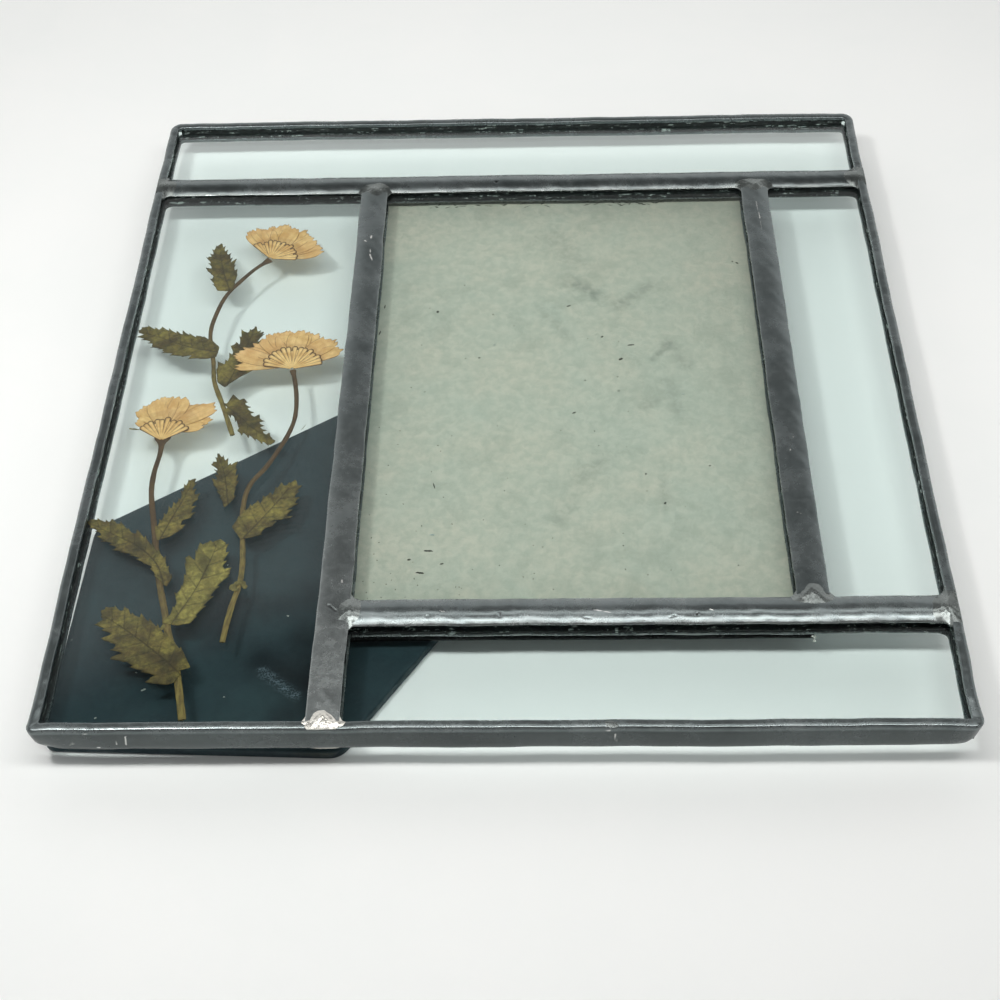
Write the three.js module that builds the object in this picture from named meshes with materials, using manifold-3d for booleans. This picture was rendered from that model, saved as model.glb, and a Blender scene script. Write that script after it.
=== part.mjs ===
// Pressed flower frame: a leaded-glass picture frame that lies on its folded easel leg.
//
// Lead cames hold clear panes round a 3.5 x 5 inch picture window. The tall left pane is two thin
// sheets with three pressed daisies between them. Behind the window, lead pocket strips hold a
// backing board, and the easel leg is hinged to that board at 45 degrees, so that the frame can
// stand upright or on its side.
//
// Units are millimetres and +Z is up. The plan is measured from the frame's front left corner, and
// the group at the end of the file moves that plan so that the origin is under the frame's centre.

import * as THREE from 'three';
import { mergeVertices } from 'three/addons/utils/BufferGeometryUtils.js';
import Module from 'manifold-3d';

const wasm = await Module();
wasm.setup();

// ---------------------------------------------------------------- driving dimensions

const FRAME_WIDTH = 170;
const FRAME_HEIGHT = 180;
const PICTURE_WIDTH = 88.9;
const PICTURE_HEIGHT = 127;
const CLEARANCE = 0.3;

const CAME_HEIGHT = 6.4;
const CHANNEL_HEIGHT = 4.4;
const BAR_WIDTH = 6.2;
const HEART = 1.3;
const CROWN = 0.35;
const RIM_WIDTH = 2.1;
const RIM_WALL = 0.9;
const RIM_ROUND = 0.6;
// the outside corners, hand bent: near left, near right, far right, far left
const CORNER_RADII = [1.6, 2.6, 3, 3];

const LEFT_BAR_X = 53.05;
const LOW_BAR_Y = 26.5;

const GLASS = 3;
const THIN_SHEET = 1.4;
const PRESS_GAP = 1.1;
const PLANT_THICKNESS = 0.2;
const PLANT_LAYER_GAP = 0.12;

const LEG_THICKNESS = 2.4;
const LEG_LENGTH = 153;
const LEG_TOP_WIDTH = 30.4;
// the foot's three corners, along the leg and across it
const FOOT_CORNER = [2.3, 2.8];
const FOOT_NEAR = [39.9, -37.5];
const FOOT_LEFT = [39.2, 38];
const LEG_START = [0.6, -0.6];
const TAB_LENGTH = 14;
const CREASE = 0.4;

const STRIP_HEIGHT = 2.3;
const STRIP_WALL = 0.7;
const STRIP_LIP = 3;
const STRIP_LIP_THICKNESS = 0.5;
const BOARD_THICKNESS = 1.3;

const SOLDER_SUNK = 0.25;
const SOLDER_PROUD = 0.45;

// ---------------------------------------------------------------- levels and lines worked out

const STRIP_BOTTOM = LEG_THICKNESS + CLEARANCE;
const BOARD_BOTTOM = STRIP_BOTTOM + STRIP_LIP_THICKNESS + CLEARANCE;
const CAME_BOTTOM = STRIP_BOTTOM + STRIP_HEIGHT + CLEARANCE;
const CAME_TOP = CAME_BOTTOM + CAME_HEIGHT;
const CAME_MIDDLE = CAME_BOTTOM + CAME_HEIGHT / 2;

const RIGHT_BAR_X = LEFT_BAR_X + HEART + PICTURE_WIDTH;
const TOP_BAR_Y = LOW_BAR_Y + HEART + PICTURE_HEIGHT;
const HALF_BAR = BAR_WIDTH / 2;
const BUTT = HALF_BAR + CLEARANCE;
const RIM_BUTT = RIM_WIDTH + CLEARANCE;
const PANE_FROM_HEART = HEART / 2 + CLEARANCE;
const PANE_FROM_EDGE = RIM_WALL + CLEARANCE;
const PANE_CORNERS = CORNER_RADII.map((radius) => Math.max(radius - PANE_FROM_EDGE, 0.2));

// ---------------------------------------------------------------- materials

function material(color, roughness, metalness) {
  return new THREE.MeshStandardMaterial({ color, roughness, metalness });
}

const LEAD = material(0x4a4f51, 0.5, 0.8);
const BRIGHT_LEAD = material(0xb9bcbc, 0.35, 0.9);
const CLEAR_GLASS = new THREE.MeshStandardMaterial({
  color: 0xdcefe8,
  roughness: 0.05,
  metalness: 0,
  transparent: true,
  opacity: 0.35,
});
const BOARD_PAPER = material(0xa8b09c, 0.9, 0);
const LEATHERETTE = material(0x2c383e, 0.7, 0);
const PETAL = material(0xe0c08a, 0.8, 0);
const BRACT = material(0xc39a58, 0.8, 0);
const LEAF = material(0x6d6434, 0.85, 0);
const STEM = material(0x6b543a, 0.85, 0);

// ---------------------------------------------------------------- solids

function solid(geometry) {
  const bare = geometry.clone();
  bare.deleteAttribute('normal');
  bare.deleteAttribute('uv');
  const merged = mergeVertices(bare, 1e-4);
  return new wasm.Manifold(new wasm.Mesh({
    numProp: 3,
    vertProperties: Float32Array.from(merged.attributes.position.array),
    triVerts: Uint32Array.from(merged.index.array),
  }));
}

function geometryOf(manifold) {
  const mesh = manifold.getMesh();
  const geometry = new THREE.BufferGeometry();
  geometry.setAttribute('position', new THREE.BufferAttribute(mesh.vertProperties, 3));
  geometry.setIndex(new THREE.BufferAttribute(mesh.triVerts, 1));
  geometry.computeVertexNormals();
  return geometry;
}

function mesh(name, shape, look) {
  const geometry = shape instanceof THREE.BufferGeometry ? shape : geometryOf(shape);
  const made = new THREE.Mesh(geometry, look);
  made.name = name;
  return made;
}

function extrude(shape, bottom, top, options = {}) {
  const geometry = new THREE.ExtrudeGeometry(shape, {
    depth: top - bottom,
    bevelEnabled: false,
    curveSegments: 6,
    ...options,
  });
  geometry.translate(0, 0, bottom);
  return geometry;
}

// A rectangle in plan with its own radius at each corner: near left, near right, far right, far left.
function roundedRectangle(x0, y0, x1, y1, radii) {
  const [a, b, c, d] = radii;
  const shape = new THREE.Shape();
  shape.moveTo(x0 + a, y0);
  shape.lineTo(x1 - b, y0);
  if (b > 0) shape.absarc(x1 - b, y0 + b, b, -Math.PI / 2, 0, false);
  shape.lineTo(x1, y1 - c);
  if (c > 0) shape.absarc(x1 - c, y1 - c, c, 0, Math.PI / 2, false);
  shape.lineTo(x0 + d, y1);
  if (d > 0) shape.absarc(x0 + d, y1 - d, d, Math.PI / 2, Math.PI, false);
  shape.lineTo(x0, y0 + a);
  if (a > 0) shape.absarc(x0 + a, y0 + a, a, Math.PI, Math.PI * 1.5, false);
  return shape;
}

// The frame's outline moved inwards by a distance.
function inset(distance) {
  return roundedRectangle(
    distance, distance, FRAME_WIDTH - distance, FRAME_HEIGHT - distance,
    CORNER_RADII.map((radius) => Math.max(radius - distance, 0.4)),
  );
}

function polygon(points, radius = 0) {
  const shape = new THREE.Shape();
  points.forEach((point, i) => {
    const corner = new THREE.Vector2(...point);
    if (radius === 0) {
      if (i === 0) shape.moveTo(corner.x, corner.y);
      else shape.lineTo(corner.x, corner.y);
      return;
    }
    const before = new THREE.Vector2(...points.at(i - 1)).sub(corner).setLength(radius).add(corner);
    const next = points[(i + 1) % points.length];
    const after = new THREE.Vector2(...next).sub(corner).setLength(radius).add(corner);
    if (i === 0) shape.moveTo(before.x, before.y);
    else shape.lineTo(before.x, before.y);
    shape.quadraticCurveTo(corner.x, corner.y, after.x, after.y);
  });
  return shape;
}

// ---------------------------------------------------------------- cames

// Lays a section, drawn as across and up, along X or along Y between two ends.
function runAlong(axis, section, start, end, across, height) {
  const geometry = new THREE.ExtrudeGeometry(section, {
    depth: end - start,
    bevelEnabled: false,
    curveSegments: 6,
  });
  const up = new THREE.Vector3(0, 0, 1);
  const along = axis === 'x' ? new THREE.Vector3(1, 0, 0) : new THREE.Vector3(0, 1, 0);
  const side = new THREE.Vector3().crossVectors(up, along);
  geometry.applyMatrix4(new THREE.Matrix4().makeBasis(side, up, along));
  if (axis === 'x') geometry.translate(start, across, height);
  else geometry.translate(across, start, height);
  return geometry;
}

// An H section: two slightly crowned flanges on an upright heart.
function barSection() {
  const channel = CHANNEL_HEIGHT / 2;
  const half = CAME_HEIGHT / 2;
  const heart = HEART / 2;
  const shape = new THREE.Shape();
  shape.moveTo(-HALF_BAR, half - CROWN);
  shape.lineTo(-HALF_BAR, channel);
  shape.lineTo(-heart, channel);
  shape.lineTo(-heart, -channel);
  shape.lineTo(-HALF_BAR, -channel);
  shape.lineTo(-HALF_BAR, CROWN - half);
  shape.quadraticCurveTo(0, -CROWN - half, HALF_BAR, CROWN - half);
  shape.lineTo(HALF_BAR, -channel);
  shape.lineTo(heart, -channel);
  shape.lineTo(heart, channel);
  shape.lineTo(HALF_BAR, channel);
  shape.lineTo(HALF_BAR, half - CROWN);
  shape.quadraticCurveTo(0, half + CROWN, -HALF_BAR, half - CROWN);
  return shape;
}

// One lead strip of U section, bent round the whole frame with its channel facing inwards.
function rimCame() {
  const ring = inset(0);
  ring.holes.push(inset(RIM_WIDTH));
  const blank = solid(extrude(ring, CAME_BOTTOM + RIM_ROUND, CAME_TOP - RIM_ROUND, {
    bevelEnabled: true,
    bevelThickness: RIM_ROUND,
    bevelSize: RIM_ROUND,
    bevelOffset: -RIM_ROUND,
    bevelSegments: 2,
  }));
  const groove = inset(RIM_WALL);
  groove.holes.push(inset(RIM_WIDTH + 1));
  const half = CHANNEL_HEIGHT / 2;
  return blank.subtract(solid(extrude(groove, CAME_MIDDLE - half, CAME_MIDDLE + half)));
}

const rightEnd = FRAME_WIDTH - RIM_BUTT;
const cames = {
  rim_came: rimCame(),
  top_bar_came: solid(runAlong('x', barSection(), RIM_BUTT, rightEnd, TOP_BAR_Y, CAME_MIDDLE)),
  left_bar_came: solid(
    runAlong('y', barSection(), RIM_BUTT, TOP_BAR_Y - BUTT, LEFT_BAR_X, CAME_MIDDLE),
  ),
  right_bar_came: solid(
    runAlong('y', barSection(), LOW_BAR_Y + BUTT, TOP_BAR_Y - BUTT, RIGHT_BAR_X, CAME_MIDDLE),
  ),
  low_bar_came: solid(
    runAlong('x', barSection(), LEFT_BAR_X + BUTT, rightEnd, LOW_BAR_Y, CAME_MIDDLE),
  ),
};

// ---------------------------------------------------------------- solder

// Each joint of the cames has a flattened lump of solder let into both leads.
const rimJointX = RIM_WIDTH + 0.3;
const solderJoints = [
  { name: 'top_bar_left', x: rimJointX, y: TOP_BAR_Y, rx: 2.2, ry: 3.3, back: true },
  { name: 'top_bar_right', x: FRAME_WIDTH - rimJointX, y: TOP_BAR_Y, rx: 2.2, ry: 3.3, back: true },
  { name: 'left_bar_top', x: LEFT_BAR_X, y: TOP_BAR_Y - HALF_BAR, rx: 3.3, ry: 2.3 },
  { name: 'right_bar_top', x: RIGHT_BAR_X, y: TOP_BAR_Y - HALF_BAR, rx: 3.3, ry: 2.3 },
  { name: 'low_bar_left', x: LEFT_BAR_X + HALF_BAR, y: LOW_BAR_Y, rx: 2.3, ry: 3.3 },
  { name: 'low_bar_right', x: FRAME_WIDTH - rimJointX, y: LOW_BAR_Y, rx: 2.2, ry: 3.3, back: true },
  { name: 'right_bar_foot', x: RIGHT_BAR_X, y: LOW_BAR_Y + HALF_BAR, rx: 3.4, ry: 2.5 },
  { name: 'left_bar_foot', x: LEFT_BAR_X, y: RIM_WIDTH, rx: 3.6, ry: 1.8, back: true, bright: true },
  { name: 'rim_seam', x: 104.4, y: 1.1, rx: 1.5, ry: 0.8 },
];

function solderLump({ x, y, rx, ry }) {
  const profile = [
    [0, -SOLDER_SUNK],
    [0.92, -SOLDER_SUNK],
    [1, -0.1],
    [0.85, 0.2],
    [0.5, 0.38],
    [0, SOLDER_PROUD],
  ].map(([radius, height]) => new THREE.Vector2(radius, height));
  const lump = new THREE.LatheGeometry(profile, 14);
  lump.rotateX(Math.PI / 2);
  lump.scale(rx, ry, 1);
  lump.translate(x, y, 0);
  return lump;
}

function solderSeat({ x, y, rx, ry }) {
  const seat = new THREE.CylinderGeometry(1, 1, 2, 14);
  seat.rotateX(Math.PI / 2);
  seat.scale(rx + CLEARANCE, ry + CLEARANCE, 1);
  seat.translate(x, y, 1 - SOLDER_SUNK - CLEARANCE);
  return seat;
}

// Turns a piece that sits on the front face over to the back face.
function placeOnFace(geometry, face) {
  if (face === 'back') {
    geometry.scale(1, 1, -1);
    geometry.index.array.reverse();
    geometry.translate(0, 0, CAME_BOTTOM);
  } else {
    geometry.translate(0, 0, CAME_TOP);
  }
  return geometry;
}

const solderMeshes = [];
for (const joint of solderJoints) {
  for (const face of joint.back ? ['front', 'back'] : ['front']) {
    const seat = solid(placeOnFace(solderSeat(joint), face));
    for (const name of Object.keys(cames)) {
      cames[name] = cames[name].subtract(seat);
    }
    const lump = solid(placeOnFace(solderLump(joint), face));
    const look = joint.bright ? BRIGHT_LEAD : LEAD;
    solderMeshes.push(mesh(`solder_${joint.name}_${face}`, lump, look));
  }
}

// ---------------------------------------------------------------- glass

function pane(name, x0, y0, x1, y1, radii, bottom, thickness) {
  const shape = roundedRectangle(x0, y0, x1, y1, radii);
  return mesh(name, extrude(shape, bottom, bottom + thickness), CLEAR_GLASS);
}

const leftEdge = PANE_FROM_EDGE;
const rightEdge = FRAME_WIDTH - PANE_FROM_EDGE;
const nearEdge = PANE_FROM_EDGE;
const farEdge = FRAME_HEIGHT - PANE_FROM_EDGE;
const flowerRight = LEFT_BAR_X - PANE_FROM_HEART;
const underTopBar = TOP_BAR_Y - PANE_FROM_HEART;
const glassBottom = CAME_MIDDLE - GLASS / 2;
const stackBottom = CAME_MIDDLE - PRESS_GAP / 2 - THIN_SHEET;
const frontSheetBottom = CAME_MIDDLE + PRESS_GAP / 2;
const SQUARE = [0, 0, 0, 0];
const [nearLeftCorner, nearRightCorner, farRightCorner, farLeftCorner] = PANE_CORNERS;

const panes = [
  pane(
    'glass_top', leftEdge, TOP_BAR_Y + PANE_FROM_HEART, rightEdge, farEdge,
    [0, 0, farRightCorner, farLeftCorner], glassBottom, GLASS,
  ),
  pane(
    'glass_flowers_back', leftEdge, nearEdge, flowerRight, underTopBar,
    [nearLeftCorner, 0, 0, 0], stackBottom, THIN_SHEET,
  ),
  pane(
    'glass_flowers_front', leftEdge, nearEdge, flowerRight, underTopBar,
    [nearLeftCorner, 0, 0, 0], frontSheetBottom, THIN_SHEET,
  ),
  pane(
    'glass_picture', LEFT_BAR_X + PANE_FROM_HEART, LOW_BAR_Y + PANE_FROM_HEART,
    RIGHT_BAR_X - PANE_FROM_HEART, underTopBar, SQUARE, glassBottom, GLASS,
  ),
  pane(
    'glass_right', RIGHT_BAR_X + PANE_FROM_HEART, LOW_BAR_Y + PANE_FROM_HEART, rightEdge,
    underTopBar, SQUARE, glassBottom, GLASS,
  ),
  pane(
    'glass_bottom', LEFT_BAR_X + PANE_FROM_HEART, nearEdge, rightEdge,
    LOW_BAR_Y - PANE_FROM_HEART, [0, nearRightCorner, 0, 0], glassBottom, GLASS,
  ),
];

// ---------------------------------------------------------------- pocket and board

// A folded lead strip: a wall beside the board and a lip under it. `inward` is the lip's side.
function stripSection(inward) {
  const wall = inward * STRIP_WALL;
  const lip = inward * STRIP_LIP;
  return polygon([
    [0, 0],
    [lip, 0],
    [lip, STRIP_LIP_THICKNESS],
    [wall, STRIP_LIP_THICKNESS],
    [wall, STRIP_HEIGHT],
    [0, STRIP_HEIGHT],
  ]);
}

const pocketLeft = LEFT_BAR_X - 0.4;
const pocketRight = RIGHT_BAR_X + 0.4;
const pocketBottom = LOW_BAR_Y - 0.4;
const sideStripStart = pocketBottom + STRIP_LIP + CLEARANCE;
const sideStripEnd = TOP_BAR_Y - 2;
const boardLeft = LEFT_BAR_X + HEART / 2;
const boardNear = pocketBottom + STRIP_WALL + 0.4;

const pocket = [
  // across runs towards -X on a strip that lies along Y, so its lip side changes sign
  mesh('pocket_strip_left', runAlong(
    'y', stripSection(-1), sideStripStart, sideStripEnd, pocketLeft, STRIP_BOTTOM,
  ), LEAD),
  mesh('pocket_strip_right', runAlong(
    'y', stripSection(1), sideStripStart, sideStripEnd, pocketRight, STRIP_BOTTOM,
  ), LEAD),
  mesh('pocket_strip_bottom', runAlong(
    'x', stripSection(1), LEFT_BAR_X + 1, RIGHT_BAR_X + 0.5, pocketBottom, STRIP_BOTTOM,
  ), LEAD),
  mesh('backing_board', extrude(
    roundedRectangle(
      boardLeft, boardNear, boardLeft + PICTURE_WIDTH, boardNear + PICTURE_HEIGHT, SQUARE,
    ),
    BOARD_BOTTOM, BOARD_BOTTOM + BOARD_THICKNESS,
  ), BOARD_PAPER),
];

// ---------------------------------------------------------------- easel

// The leg is drawn with its foot near the origin and its length along +X. Turned by 45 degrees,
// the foot's two edges lie along the frame's near and left sides.
const easel = new THREE.Group();
easel.position.set(...LEG_START, 0);
easel.rotation.z = Math.PI / 4;

const legOutline = polygon([
  FOOT_CORNER,
  FOOT_NEAR,
  [LEG_LENGTH, -LEG_TOP_WIDTH / 2],
  [LEG_LENGTH, LEG_TOP_WIDTH / 2],
  FOOT_LEFT,
], 2.5);
easel.add(mesh('easel_leg', extrude(legOutline, 0, LEG_THICKNESS), LEATHERETTE));

// The tab beyond the crease is glued under the board. The covering bends at the crease.
const tabStart = LEG_LENGTH + CREASE;
const tabOutline = polygon([
  [tabStart, -LEG_TOP_WIDTH / 2],
  [tabStart + TAB_LENGTH, -LEG_TOP_WIDTH / 2],
  [tabStart + TAB_LENGTH, LEG_TOP_WIDTH / 2],
  [tabStart, LEG_TOP_WIDTH / 2],
], 2.5);
easel.add(mesh('easel_tab', extrude(tabOutline, 0, BOARD_BOTTOM - CLEARANCE), LEATHERETTE));

// ---------------------------------------------------------------- pressed plants

// The plants lie in three thin layers: leaves, then stems and petals, then the bracts of the heads.
const PLANT_BOTTOM = stackBottom + THIN_SHEET + 0.13;
const LAYER_STEP = PLANT_THICKNESS + PLANT_LAYER_GAP;

function pressed(name, shapes, layer, look) {
  const bottom = PLANT_BOTTOM + layer * LAYER_STEP;
  const parts = shapes.map((shape) => solid(extrude(shape, bottom, bottom + PLANT_THICKNESS)));
  return mesh(name, parts.reduce((whole, part) => whole.add(part)), look);
}

function leaf(name, outline) {
  return pressed(name, [polygon(outline)], 0, LEAF);
}

// A flattened stem: a ribbon that follows a curve and widens from the head to the cut end.
function stem(name, route, headWidth, cutWidth) {
  const curve = new THREE.CatmullRomCurve3(route.map(([x, y]) => new THREE.Vector3(x, y, 0)));
  const steps = route.length * 2;
  const left = [];
  const right = [];
  for (let i = 0; i <= steps; i += 1) {
    const t = i / steps;
    const { x, y } = curve.getPoint(t);
    const tangent = curve.getTangent(t);
    const half = THREE.MathUtils.lerp(headWidth, cutWidth, t) / 2;
    left.push([x - tangent.y * half, y + tangent.x * half]);
    right.unshift([x + tangent.y * half, y - tangent.x * half]);
  }
  return pressed(name, [polygon([...left, ...right])], 1, STEM);
}

// One petal: a narrow ellipse from near the head's heart out to its tip.
function petalShape([x, y], [degrees, length, width]) {
  const angle = THREE.MathUtils.degToRad(degrees);
  const middle = length * 0.6;
  const shape = new THREE.Shape();
  shape.absellipse(
    x + Math.cos(angle) * middle, y + Math.sin(angle) * middle,
    length * 0.4, width / 2, 0, Math.PI * 2, false, angle,
  );
  return shape;
}

// A sector that the petals grow from, or the bracts cover.
function sector([x, y], radius, fromDegrees, toDegrees, scallops = 0) {
  const points = [[x, y]];
  const steps = scallops > 0 ? scallops * 4 : 10;
  for (let i = 0; i <= steps; i += 1) {
    const angle = THREE.MathUtils.degToRad(THREE.MathUtils.lerp(fromDegrees, toDegrees, i / steps));
    const notch = scallops > 0 && i % 4 === 0 ? 0.88 : 1;
    points.push([x + Math.cos(angle) * radius * notch, y + Math.sin(angle) * radius * notch]);
  }
  return polygon(points);
}

function flowerHead(name, { heart, neck, petals, cup }) {
  const angles = petals.map(([degrees]) => degrees);
  const hub = sector(heart, 5, Math.min(...angles), Math.max(...angles));
  const petalShapes = petals.map((petal) => petalShape(heart, petal));
  return [
    pressed(`${name}_petals`, [hub, ...petalShapes], 1, PETAL),
    pressed(`${name}_bracts`, [sector(neck, cup.radius, cup.from, cup.to, cup.scallops)], 2, BRACT),
  ];
}

// Each petal is its direction in degrees, its length and its width.
const upperPlant = [
  ...flowerHead('upper_flower', {
    heart: [31, 130.6],
    neck: [30, 130],
    petals: [
      [131, 12, 3],
      [118, 12.1, 3.2],
      [104, 11, 3.6],
      [89, 11.8, 4.2],
      [71, 11.4, 4.2],
      [51, 11.3, 4.2],
      [32, 11, 4],
      [11, 11.4, 4.2],
    ],
    cup: { radius: 6.6, from: -5, to: 132, scallops: 10 },
  }),
  stem('upper_flower_stem', [
    [29.2, 129.4], [26.6, 126.4], [23.6, 122], [21.3, 117.8], [20, 113], [19.2, 107],
    [19.7, 102], [21, 96.5], [22.1, 90], [24.5, 83.7], [26.2, 79], [27.9, 74.3],
  ], 0.9, 1),
  leaf('upper_flower_leaf_a', [
    [21.2, 119], [19, 119.2], [17.3, 123.1], [17.9, 124], [16, 125.9], [16.9, 127.2], [15.4, 130.8],
    [16.4, 130.6], [16.6, 133.6], [17.5, 135.2], [18.2, 135.1], [19.1, 132.8], [20.6, 130.6],
    [20.9, 128.2], [21.8, 129.2], [21.9, 126.6], [22.9, 124.8], [22.5, 119.4],
  ]),
  leaf('upper_flower_leaf_b', [
    [21.9, 100.6], [20, 102.6], [17.2, 104.2], [16.8, 103.6], [13.3, 105.3], [13.4, 104.6],
    [11, 105.6], [8, 107], [7.9, 106.2], [4.8, 107.4], [3, 106.1], [4.8, 104.7], [3.6, 104.3],
    [7.2, 102.1], [6.8, 101.2], [10, 100.2], [9.4, 99.6], [13.6, 98], [16.2, 98.2], [15.6, 97.4],
    [19.6, 97], [21.6, 97.6],
  ]),
  leaf('upper_flower_leaf_c', [
    [24.4, 88.8], [22.6, 90.4], [22.1, 94], [22.2, 96.6], [23.6, 95.6], [25, 99.4], [24.2, 101.6],
    [26.1, 101.9], [26.2, 106.4], [27.6, 105.6], [29, 107.6], [30, 105.4], [31.1, 105.8],
    [30, 103], [30, 99.6], [28.6, 94.4], [30, 93.8], [27, 91.6],
  ]),
  leaf('upper_flower_leaf_d', [
    [24.9, 83.4], [25.8, 83.2], [26.7, 86], [28.2, 84.1], [29, 84.8], [30.2, 81.8], [31.8, 78.8],
    [33, 80.2], [33.4, 76.6], [34.8, 73.8], [35.7, 74.8], [36.1, 73], [37.2, 72.4], [36.2, 71.3],
    [33.6, 72.6], [31.2, 74.2], [28.8, 75.4], [29.3, 76.2], [27.6, 79.6], [25.4, 80.8],
    [25.9, 82.4],
  ]),
];

const middlePlant = [
  ...flowerHead('middle_flower', {
    heart: [38.5, 94.7],
    neck: [38.6, 93.6],
    petals: [
      [178, 12.6, 2.6],
      [163, 13.4, 4.4],
      [144, 11.7, 4.2],
      [126, 11.8, 4.6],
      [107, 11.3, 4.6],
      [88, 11.3, 4.6],
      [67, 11.2, 4.6],
      [47, 11.6, 4.6],
      [29, 11.7, 3.8],
    ],
    cup: { radius: 7, from: 12, to: 168, scallops: 12 },
  }),
  stem('middle_flower_stem', [
    [38.9, 92.6], [39.7, 89], [40.4, 84], [40.5, 79], [39.7, 74.8], [38, 70], [35.8, 65],
    [33.4, 61], [32.5, 57], [32.6, 51], [33.3, 46], [34, 40], [34, 35], [33.2, 30], [32.7, 25.5],
    [32.4, 21.2],
  ], 0.9, 1.1),
  leaf('middle_flower_leaf_a', [
    [28.7, 54.2], [27.8, 57], [26.5, 59.6], [25.7, 60.6], [26.6, 62.2], [26, 64.6], [24.6, 66],
    [25.6, 66.2], [25.6, 68.8], [27.8, 66.6], [28.4, 65], [29.7, 66.7], [29.8, 63.4],
    [30.5, 60.8], [30.2, 58.4], [30.5, 56.6],
  ]),
  leaf('middle_flower_leaf_b', [
    [33, 46], [30.9, 49], [32.6, 52.6], [34.6, 55], [35.8, 54.8], [36.6, 57], [38, 57.2],
    [39.4, 60], [40.8, 59.8], [42.3, 61.4], [43.4, 59.2], [42.6, 57.6], [43, 55], [41.4, 53.4],
    [41.8, 51], [38.6, 50.6], [39, 49.2], [37, 48.6], [36.8, 47], [34.8, 46.2],
  ]),
];

const lowerPlant = [
  ...flowerHead('lower_flower', {
    heart: [13.2, 75.8],
    neck: [13.2, 72.8],
    petals: [
      [150, 7, 3.4],
      [130, 9, 4],
      [111, 9.6, 4.2],
      [92, 10, 4.2],
      [72, 10.3, 4.4],
      [56, 9, 3.6],
      [36, 12.6, 4.2],
      [9, 8.6, 2.6],
    ],
    cup: { radius: 6.5, from: 32, to: 146, scallops: 8 },
  }),
  stem('lower_flower_stem', [
    [13.3, 72.8], [13.4, 69], [13, 64], [13.2, 59], [14.4, 53], [15.8, 47], [17.2, 40.5],
    [18.8, 34], [20.3, 29], [21.8, 23.6], [23.7, 18.4], [25, 13.6], [26.2, 8.6], [27.3, 4],
  ], 0.9, 1.4),
  leaf('lower_flower_leaf_a', [
    [16.4, 45.8], [15.6, 48.6], [17, 51.8], [18.4, 54.6], [19.6, 56.2], [20, 59.8], [21, 61.8],
    [21.9, 61.9], [21.7, 58.8], [23.2, 56.4], [22, 55.8], [22.3, 51.6], [20.2, 50.8], [21, 48.8],
    [18.8, 46.6],
  ]),
  leaf('lower_flower_leaf_b', [
    [20, 34.2], [20.8, 36.3], [19.4, 39], [18.6, 41.2], [16.6, 43.4], [15, 45.2], [12.8, 47.6],
    [11.2, 47.6], [8.6, 50.2], [7.6, 50.1], [6.6, 51.5], [6.2, 50.4], [3, 51.4], [1.6, 50.6],
    [3, 49.2], [4.8, 48], [5.4, 46.2], [8.2, 44.8], [9, 43.4], [11.2, 42.6], [13.4, 41.6],
    [14.6, 40.2], [16.2, 39.4], [17.8, 36.4],
  ]),
  leaf('lower_flower_leaf_c', [
    [20.4, 25.6], [23.4, 24.9], [25.8, 25.4], [26.8, 27.6], [28.6, 31], [29.6, 34], [31.9, 37.4],
    [30.1, 39.2], [30.6, 42.4], [30.2, 45], [28.6, 45.9], [27.4, 45.2], [26.2, 45], [24.9, 44],
    [24.6, 40.6], [22.8, 41.2], [23.4, 37], [23, 33.4], [22, 32.2], [22.6, 30.2], [21.8, 27.6],
  ]),
  leaf('lower_flower_leaf_d', [
    [25, 12.2], [23.6, 11.4], [19.4, 12], [21.4, 13.4], [17.2, 15.1], [15.6, 16.6], [12.4, 17.2],
    [14.4, 18.4], [12.2, 19.6], [12.8, 20.8], [10.2, 21.6], [11.2, 23.2], [8, 25.4], [9.2, 26.4],
    [8.2, 28.6], [10.6, 29.4], [12, 28.4], [13.6, 28.8], [14.4, 27.2], [16.6, 26.8],
    [19.2, 25], [21.8, 22.6], [25.6, 18.6], [27.4, 15.2], [25.2, 15],
  ]),
];

// ---------------------------------------------------------------- assembly

const frame = new THREE.Group();
frame.name = 'pressed_flower_frame';
frame.position.set(-FRAME_WIDTH / 2, -FRAME_HEIGHT / 2, 0);
for (const [name, came] of Object.entries(cames)) {
  frame.add(mesh(name, came, LEAD));
}
frame.add(...solderMeshes, ...panes, ...pocket, easel);
frame.add(...upperPlant, ...middlePlant, ...lowerPlant);

const root = new THREE.Group();
root.add(frame);

export default root;
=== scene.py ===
# %% [markdown]
# # A pressed flower frame of leaded glass
# Soft lead strips, called cames, hold six panes round a window for a picture. The tall left pane is two
# thin sheets of glass with three pressed daisies between them. A board covered in leatherette is hinged
# behind the window, so that the frame can stand. The solids come from the CAD model, which fixes every
# size. This lesson gives each piece the shape and finish that hands, heat and years gave the real one.

import math

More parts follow.
